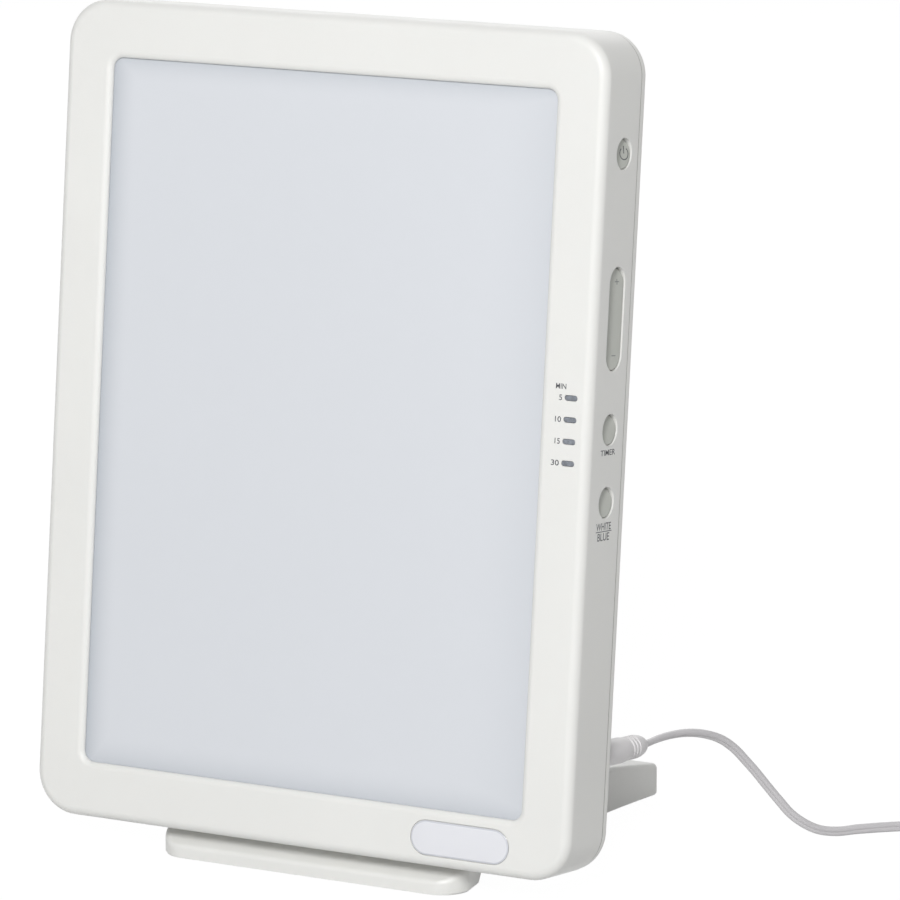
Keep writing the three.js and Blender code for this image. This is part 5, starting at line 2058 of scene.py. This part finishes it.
@dataclass
class LowVoltagePlug:
    """The moulded plug in the back of the panel.

    Each groove follows a form of pairs: place along it as a share of its half width, and share
    of its depth.
    """

    casing: Casing
    radius: float = 5.2
    face_edge: float = 0.7
    barrel_hole: Place = (3.05, 3.3)
    grip: float = 24.5
    ease: float = 4.0
    ease_steps: int = 6
    taper: float = 8.0
    neck: float = 4.8
    dome: float = 9.0
    dome_steps: int = 14
    tip: float = 2.6
    grooves: int = 3
    groove_width: float = 1.1
    groove_depth: float = 0.55
    groove_form: tuple[Place, ...] = (
        (-1.35, 0.0),
        (-1.1, 0.06),
        (-0.85, 0.45),
        (-0.55, 0.9),
        (0.0, 1.0),
        (0.55, 0.9),
        (0.85, 0.45),
        (1.1, 0.06),
        (1.35, 0.0),
    )
    dimple_place: float = 17.8
    dimple_radius: float = 1.5
    dimple_depth: float = 0.65
    dimple_margin: Place = (0.1, 0.05)
    dimple_steps: int = 6

    @property
    def face(self) -> float:
        """Where the plug starts, just behind the cover."""
        return self.casing.depth + SEAT

    @property
    def dome_start(self) -> float:
        """Where the rounded end starts."""
        return self.face + self.grip + self.taper

    @property
    def end(self) -> float:
        """Where the plug ends."""
        return self.dome_start + self.dome

    def profile(self) -> list[Place]:
        """Half the plug's section, from the barrel's socket to its end.

        Returns:
            Pairs of radius and place along the plug.
        """
        face = self.face
        wide, deep = self.barrel_hole
        points = [(0.0, face + deep), (wide, face + deep), (wide, face)]
        edge = reversed(quarter(self.face_edge, 5))
        points += [(self.radius - near, face + back) for near, back in edge]
        neck = face + self.grip
        points.append((self.radius, neck - self.ease))
        for step in range(1, self.ease_steps + 1):
            share = step / self.ease_steps
            radius = self.radius + (self.neck - self.radius) * eased(share)
            points.append((radius, neck - self.ease + self.ease * share))
        pitch = self.taper / self.grooves
        half = self.groove_width / 2
        for i in range(self.grooves):
            at = neck + pitch * (i + 0.5)
            points += [
                (self.neck - near * self.groove_depth, at + place * half)
                for place, near in self.groove_form
            ]
        last = math.acos(self.tip / self.neck)
        for step in range(1, self.dome_steps + 1):
            angle = last * step / self.dome_steps
            along = self.dome * math.sin(angle) / math.sin(last)
            points.append((self.neck * math.cos(angle), self.dome_start + along))
        points.append((0.0, self.end))
        return points

    def dimple(self) -> Mesh:
        """Cutter of the round dimple under the grip.

        Returns:
            The mesh.
        """
        x, z = JACK
        low, wide = z - self.radius, self.dimple_radius
        flare, start = self.dimple_margin
        below = low - 2 * OVERRUN
        profile = [(0.0, below), (wide + flare, below)]
        for step in range(self.dimple_steps + 1):
            angle = math.pi / 2 * step / self.dimple_steps
            rise = start + self.dimple_depth * math.sin(angle)
            profile.append((wide * math.cos(angle), low + rise))
        return turned(profile, Axis.Z, (x, self.face + self.dimple_place), 24)

    def build(self) -> Piece:
        """Builds the plug.

        Returns:
            The plug.
        """
        body = turned(self.profile(), Axis.Y, JACK, 56)
        body = combine(body, self.dimple(), Operation.CUT)
        return dress(
            "plug_grip", body, PANEL, PLUG_VINYL, Body.PANEL, Slot.LEAD, ["plug_body"], sharp=40.0
        )


@dataclass
class Lead:
    """The flat twin lead from the plug to the coil and the wall adapter.

    It leaves the plug half turned, stands on edge as it falls to the table, and stays on edge
    in the coil.
    """

    plug: LowVoltagePlug
    width: float = 4.2
    strand: float = 1.25
    offset: float = 0.85
    meet_share: float = 1.04
    strand_steps: int = 12
    length: float = 1500.0
    spacing: float = 1.2
    route: tuple[Spot, ...] = (
        (114.5, 92, 52),
        (116, 102, 51.8),
        (118.6, 111.7, 50.9),
        (121.7, 120.5, 48.8),
        (125, 128.2, 45.5),
        (128.2, 134.2, 40.7),
        (131.1, 138.6, 35.2),
        (134.2, 142.4, 29.6),
        (137.3, 145.7, 23.9),
        (141, 149.2, 17.6),
        (145, 153, 11.2),
        (149.4, 157.2, 6.6),
        (153.5, 161.6, 3.7),
        (158.6, 167.7, 2.2),
        (164.7, 175.1, 2.2),
        (172, 182.4, 2.2),
        (181, 189.4, 2.3),
        (191, 194.4, 2.5),
        (202, 197.9, 2.9),
        (213, 199.2, 3.2),
    )
    coil_centre: Place = (230.0, 169.2)
    coil_radius: float = 30.2
    coil_pitch: float = 5.2
    coil_base: float = 3.3
    layers: int = 4
    turns: float = 8.25
    turn_steps: int = 48
    tail: float = 22.0
    tail_steps: int = 6
    blend_end: Spot = (150.0, 158.0, 5.0)
    first_roll: float = 0.7
    flat_share: float = 0.3
    edge_share: float = 0.8

    def outlet(self, reach: float = 0.0) -> Vector:
        """Where the lead leaves the plug, or lies a little further on, in the bench frame."""
        x, z = JACK
        return LEAN @ Vector((x, self.plug.end + SEAT + reach, z))

    def fall(self) -> list[Vector]:
        """The way from the plug to the coil, at even steps.

        Returns:
            The points in the bench frame.
        """
        cx, cy = self.coil_centre
        top = cy + self.coil_radius
        last = [Vector((cx - self.width * share - SEAT, top, self.coil_base)) for share in (2, 1)]
        points = [self.outlet(), self.outlet(self.width), *map(Vector, self.route), *last]
        return smooth_path(points, self.spacing)

    def coil_point(self, turn: float) -> Vector:
        """The lead's place in the coil after so many turns.

        Args:
            turn: The turns.

        Returns:
            The point in the bench frame.
        """
        per_layer = self.turns / self.layers
        layer = min(int(turn // per_layer), self.layers - 1)
        within = turn - layer * per_layer
        inward = within if layer % 2 == 0 else per_layer - within
        radius = self.coil_radius - self.coil_pitch * inward
        climbs = sum(eased((turn - k * per_layer) * 2 + 0.5) for k in range(1, self.layers))
        angle = math.pi / 2 - 2 * math.pi * turn
        cx, cy = self.coil_centre
        x, y = cx + radius * math.cos(angle), cy + radius * math.sin(angle)
        return Vector((x, y, self.coil_base + self.coil_pitch * climbs))

    def centreline(self) -> tuple[list[Vector], list[float]]:
        """The whole route and the lead's roll along it.

        Returns:
            Points in the bench frame, and the roll at each, where 0 lies flat and a quarter
            turn stands on edge.
        """
        fall = self.fall()
        steps = round(self.turns * self.turn_steps)
        coil = [self.coil_point(self.turns * i / steps) for i in range(steps + 1)]
        end, count = coil[-1], self.tail_steps
        tail = [Vector((end.x, end.y - self.tail * i / count, end.z)) for i in range(1, count + 1)]
        points = fall + coil + tail
        rolls = []
        for i in range(len(points)):
            share = (i / len(fall) - self.flat_share) / (self.edge_share - self.flat_share)
            rolls.append(self.first_roll + (math.pi / 2 - self.first_roll) * eased(share))
        return points, rolls

    def section(self) -> list[Place]:
        """The twin strands' outline as (across the width, across the thickness).

        Returns:
            The pairs, once round.
        """
        span = math.pi - math.acos(self.offset / self.strand) * self.meet_share
        half = []
        for step in range(self.strand_steps + 1):
            angle = -span + 2 * span * step / self.strand_steps
            u, v = self.strand * math.cos(angle), self.strand * math.sin(angle)
            half.append((self.offset + u, v))
        return half + [(-u, -v) for u, v in half]

    def build(self) -> Piece:
        """Builds the lead and its coil as one unbroken tube.

        Returns:
            The lead.
        """
        points, rolls = self.centreline()
        section = self.section()
        up = Vector((0.0, 0.0, 1.0))
        rings = []
        for i, (point, roll) in enumerate(zip(points, rolls)):
            along = direction_at(points, i)
            level = along.cross(up).normalized()
            above = level.cross(along)
            wide = level * math.cos(roll) + above * math.sin(roll)
            thin = wide.cross(along)
            rings.append([point + wide * u + thin * v for u, v in section])
        nodes = ["cord_lead", "cord_coil"]
        piece = dress(
            "twin_lead", loft(rings), BENCH, LEAD_VINYL, None, Slot.LEAD, nodes, sharp=75.0
        )
        BENCH @ Vector(self.blend_end)
        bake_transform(piece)
        return piece


def smooth_path(points: Sequence[Vector], spacing: float, steps: int = 24) -> list[Vector]:
    """A smooth curve through points, cut into even steps.

    Args:
        points: The points.
        spacing: Length of a step.
        steps: Steps of the fine curve between two points, before it is cut.

    Returns:
        The curve's points, both ends included.
    """
    ends = [points[0] * 2 - points[1], *points, points[-1] * 2 - points[-2]]
    fine = [points[0].copy()]
    for p0, p1, p2, p3 in zip(ends, ends[1:], ends[2:], ends[3:]):
        t1 = (p1 - p0).length ** 0.5
        t2 = t1 + (p2 - p1).length ** 0.5
        t3 = t2 + (p3 - p2).length ** 0.5
        for step in range(1, steps + 1):
            t = t1 + (t2 - t1) * step / steps
            a = p0.lerp(p1, t / t1)
            b = p1.lerp(p2, (t - t1) / (t2 - t1))
            c = p2.lerp(p3, (t - t2) / (t3 - t2))
            d = a.lerp(b, t / t2)
            e = b.lerp(c, (t - t1) / (t3 - t1))
            fine.append(d.lerp(e, (t - t1) / (t2 - t1)))
    reach = [0.0]
    for near, far in zip(fine, fine[1:]):
        reach.append(reach[-1] + (far - near).length)
    count = round(reach[-1] / spacing)
    even = []
    k = 0
    for i in range(count + 1):
        target = reach[-1] * i / count
        while k < len(fine) - 2 and reach[k + 1] < target:
            k += 1
        share = (target - reach[k]) / (reach[k + 1] - reach[k])
        even.append(fine[k].lerp(fine[k + 1], min(max(share, 0.0), 1.0)))
    return even


@dataclass
class WallAdapter:
    """The wall adapter on its face, with its strain relief and blades."""

    centre_x: float = 260.2
    rear: float = 134.6
    half: Place = (20.0, 29.0)
    height: float = 30.0
    corner: float = 4.0
    face_edge: float = 1.5
    seam_share: float = 0.62
    seam_halves: Place = (0.3, 0.2)
    seam_depth: float = 0.35
    relief_z: float = 18.9
    relief_front: float = 134.9
    relief_length: float = 12.0
    relief_radius: float = 4.0
    relief_taper: float = 0.22
    relief_tip: float = 3.0
    relief_edge: float = 0.1
    ribs: int = 5
    rib_depth: float = 0.7
    rib_ends: Spot = (1.6, 1.7, 2.3)
    blade: Spot = (1.5, 6.3, 17.0)
    blade_corner: float = 0.2
    blade_point: float = 1.5
    blade_tip: Place = (0.75, 0.82)
    blade_hole: Place = (1.6, 5.0)
    blade_spacing: float = 12.7

    @property
    def middle(self) -> float:
        """The adapter's middle from front to back."""
        return self.rear - self.half[1]

    def ring(self, inset: float, z: float) -> Ring:
        """The case's outline, set in at full corners, at a height."""
        half = (self.half[0] - inset, self.half[1] - inset)
        return Outline(Axis.Z, half, self.corner, (self.centre_x, self.middle), 12).ring(z)

    def body(self) -> Mesh:
        """The adapter's case with its parting line.

        Returns:
            The mesh.
        """
        seam = self.height * self.seam_share
        outer, inner = self.seam_halves
        low, high = seam - outer, seam + outer
        groove = ((0.0, low), (self.seam_depth, seam - inner), (self.seam_depth, seam + inner))
        levels = [*reversed(quarter(self.corner, 8)), *groove, (0.0, high)]
        levels += [(near, self.height - back) for near, back in quarter(self.face_edge, 5)]
        return loft([self.ring(inset, z) for inset, z in levels])

    def relief(self) -> Mesh:
        """The ribbed strain relief.

        Returns:
            The mesh.
        """
        rib, fall, groove = self.rib_ends
        profile = [(0.0, self.relief_front)]
        for i in range(self.ribs):
            at = self.relief_front + i * self.relief_length / self.ribs
            radius = self.relief_radius - i * self.relief_taper
            low = radius - self.rib_depth
            profile += [(radius, at), (radius, at + rib), (low, at + fall), (low, at + groove)]
        end = self.relief_front + self.relief_length
        profile += [(self.relief_tip, end - self.relief_edge), (0.0, end)]
        return turned(profile, Axis.Y, (self.centre_x, self.relief_z), 40)

    def prong(self, x: float) -> Mesh:
        """A blade with its hole.

        Args:
            x: Its place along X.

        Returns:
            The mesh.
        """
        thick, wide, long = self.blade
        base = self.height + SEAT
        tip = base + long
        across, along = self.blade_tip
        rings = []
        for u, v, z in ((1.0, 1.0, base), (1.0, 1.0, tip - self.blade_point), (across, along, tip)):
            half = (thick / 2 * u, wide / 2 * v)
            rings.append(Outline(Axis.Z, half, self.blade_corner, (x, self.middle), 3).ring(z))
        radius, below = self.blade_hole
        hole = rod(radius, x - thick, x + thick, Axis.X, (self.middle, tip - below), 24)
        return combine(loft(rings), hole, Operation.CUT)

    def build(self) -> list[Piece]:
        """Builds the adapter.

        Returns:
            Its pieces.
        """
        pieces = [
            ("adapter_case", self.body(), BLACK, Slot.BLACK, "wall_adapter"),
            ("adapter_sleeve", self.relief(), BLACK, Slot.BLACK, "adapter_relief"),
        ]
        for side, name in ((-0.5, "left"), (0.5, "right")):
            prong = self.prong(self.centre_x + side * self.blade_spacing)
            pieces.append((f"blade_{name}", prong, BRASS, Slot.BRASS, f"adapter_blade_{name}"))
        return [
            dress(name, mesh, BENCH, finish, Body.STAND, slot, [node])
            for name, mesh, finish, slot, node in pieces
        ]


@dataclass
class CarriedParts:
    """CAD solids that stay as they are and get a finish."""

    finishes: tuple[tuple[Finish, tuple[str, ...]], ...] = (
        (OPAL, ("diffuser_panel",)),
        (TRAY_WHITE, ("reflector_tray",)),
        (BOARD, ("led_strip_1", "led_strip_2", "led_strip_3", "led_strip_4")),
        (BOARD, ("driver_board", "control_board", "indicator_board")),
        (BLACK, ("power_switch", "brighter_switch", "dimmer_switch")),
        (BLACK, ("timer_switch", "colour_switch", "dc_jack")),
        (BLACK, ("jack_lead", "control_lead", "coil_tie")),
        (STEEL, ("rocker_pin",)),
        (NICKEL, ("plug_barrel",)),
        (RUBBER, ("foot_pad_front_left", "foot_pad_front_right")),
        (RUBBER, ("foot_pad_rear_left", "foot_pad_rear_right")),
    )

    def build(self, nodes: dict[str, Piece]) -> None:
        """Gives each solid its finish.

        Args:
            nodes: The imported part's nodes.
        """
        for finish, names in self.finishes:
            for name in names:
                for slot in nodes[name].material_slots:
                    slot.material = finish.material()
                log.info("%s: %s", name, finish.name)


@dataclass(frozen=True)
class SoftLamp:
    """A soft rectangular studio lamp: its place and size in metres, its power in watts."""

    name: str
    place: Spot
    size: Place
    power: float

    def build(self, target: Spot) -> None:
        """Puts the light into the scene.

        Args:
            target: The point that it faces.
        """
        data = bpy.data.lights.new(self.name, "AREA")
        data.shape = "RECTANGLE"
        data.size, data.size_y = self.size
        data.energy = self.power
        light = bpy.data.objects.new(self.name, data)
        light.location = self.place
        aim = Vector(target) - Vector(self.place)
        light.rotation_euler = aim.to_track_quat("-Z", "Y").to_euler()
        bpy.context.scene.collection.objects.link(light)


@dataclass
class Studio:
    """Camera, floor, lamps and world. The camera's place is in millimetres, the rest in metres."""

    eye: Spot = (1165.716, -1976.999, 625.426)
    azimuth: float = 0.50570
    elevation: float = 0.19400
    lens: float = 238.9
    sensor: float = 36.0
    clip_end: float = 60.0
    sky: float = 0.3
    floor_half: float = 20.0
    floor_tone: float = 0.7
    glow: float = 1.05
    glow_share: float = 0.93
    target: Spot = (0.0, -0.05, 0.17)
    lamps: tuple[SoftLamp, ...] = (
        SoftLamp("key", (0.89, -2.26, 1.33), (0.7, 0.6), 47.0),
        SoftLamp("rear", (-0.95, 1.9, 1.6), (2.2, 2.2), 18.0),
    )

    def camera(self) -> None:
        """The camera at the photograph's place and angle."""
        a, p = self.azimuth, self.elevation
        back = Vector((math.sin(a) * math.cos(p), -math.cos(a) * math.cos(p), math.sin(p)))
        right = Vector((math.cos(a), math.sin(a), 0.0))
        up = back.cross(right)
        turn = Matrix((right, up, back)).transposed().to_4x4()
        data = bpy.data.cameras.new("camera")
        data.lens = self.lens
        data.sensor_width = self.sensor
        data.clip_end = self.clip_end
        camera = bpy.data.objects.new("camera", data)
        camera.matrix_world = Matrix.Translation(BENCH @ Vector(self.eye)) @ turn
        bpy.context.scene.collection.objects.link(camera)
        bpy.context.scene.camera = camera

    @staticmethod
    def seen(graph: Graph) -> Socket:
        """1 for a ray from the camera, straight, mirrored or through a clear sheet, else 0.

        Args:
            graph: The nodes of the material or world.

        Returns:
            The value's socket.
        """
        path = graph.add("ShaderNodeLightPath").outputs
        bent = graph.math("MAXIMUM", path["Is Glossy Ray"], path["Is Transmission Ray"])
        return graph.math("MAXIMUM", path["Is Camera Ray"], bent)

    def floor(self) -> None:
        """A plain pale floor that keeps the lamp's soft shadow."""
        material = bpy.data.materials.new("floor_paper")
        material.use_nodes = True
        graph = Graph(material.node_tree)
        nodes = material.node_tree.nodes
        shader, leave = nodes["Principled BSDF"], nodes["Material Output"]
        tone = shade((self.floor_tone,) * 3, 1.0)
        graph.feed(shader, Base_Color=tone, Roughness=0.9, Specular_IOR_Level=0.1)
        glow = graph.add("ShaderNodeEmission")
        graph.feed(glow, Color=WHITE, Strength=self.glow)
        share = graph.math("MULTIPLY", self.seen(graph), self.glow_share)
        mix = graph.add("ShaderNodeMixShader")
        for socket, source in zip(mix.inputs, (share, shader.outputs[0], glow.outputs[0])):
            graph.put(socket, source)
        graph.put(leave.inputs[0], mix.outputs[0])
        half = self.floor_half
        corners = ((-half, -half), (half, -half), (half, half), (-half, half))
        shape = bmesh.new()
        shape.faces.new([shape.verts.new((x, y, 0.0)) for x, y in corners])
        mesh = bpy.data.meshes.new("floor")
        shape.to_mesh(mesh)
        shape.free()
        mesh.materials.append(material)
        floor = bpy.data.objects.new("floor", mesh)
        bpy.context.scene.collection.objects.link(floor)

    def world(self) -> None:
        """An even pale surround that looks white behind the lamp."""
        world = bpy.data.worlds.new("surround")
        bpy.context.scene.world = world
        world.use_nodes = True
        graph = Graph(world.node_tree)
        strength = graph.span(self.seen(graph), (0.0, 1.0), (self.sky, 1.0))
        graph.feed(world.node_tree.nodes["Background"], Color=WHITE, Strength=strength)

    def build(self) -> None:
        """Sets up the studio."""
        self.camera()
        self.floor()
        self.world()
        for lamp in self.lamps:
            lamp.build(self.target)
        bpy.context.scene.view_settings.view_transform = "Standard"


def main() -> None:
    """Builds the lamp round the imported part."""
    logging.basicConfig(level=logging.INFO, format="%(name)s: %(message)s")
    for thing in list(bpy.data.objects):
        bpy.data.objects.remove(thing)
    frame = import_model()
    Studio().build()
    casing = Casing()
    controls = Controls(casing)
    plug = LowVoltagePlug(casing)
    plug_piece = plug.build()
    lead = Lead(plug)
    lead_piece = lead.build()
    adapter_pieces = WallAdapter().build()
    FrontHousing(casing, controls).build()
    BackCover(casing).build()
    SideControls(casing, controls).build()
    FrontDetails(casing, controls).build()
    Lettering(casing, controls).build()
    Stand(casing).build()
    CarriedParts().build(frame["nodes"])
    points, _ = lead.centreline()
    [BENCH @ point for point in points]


if __name__ == "__main__":
    main()
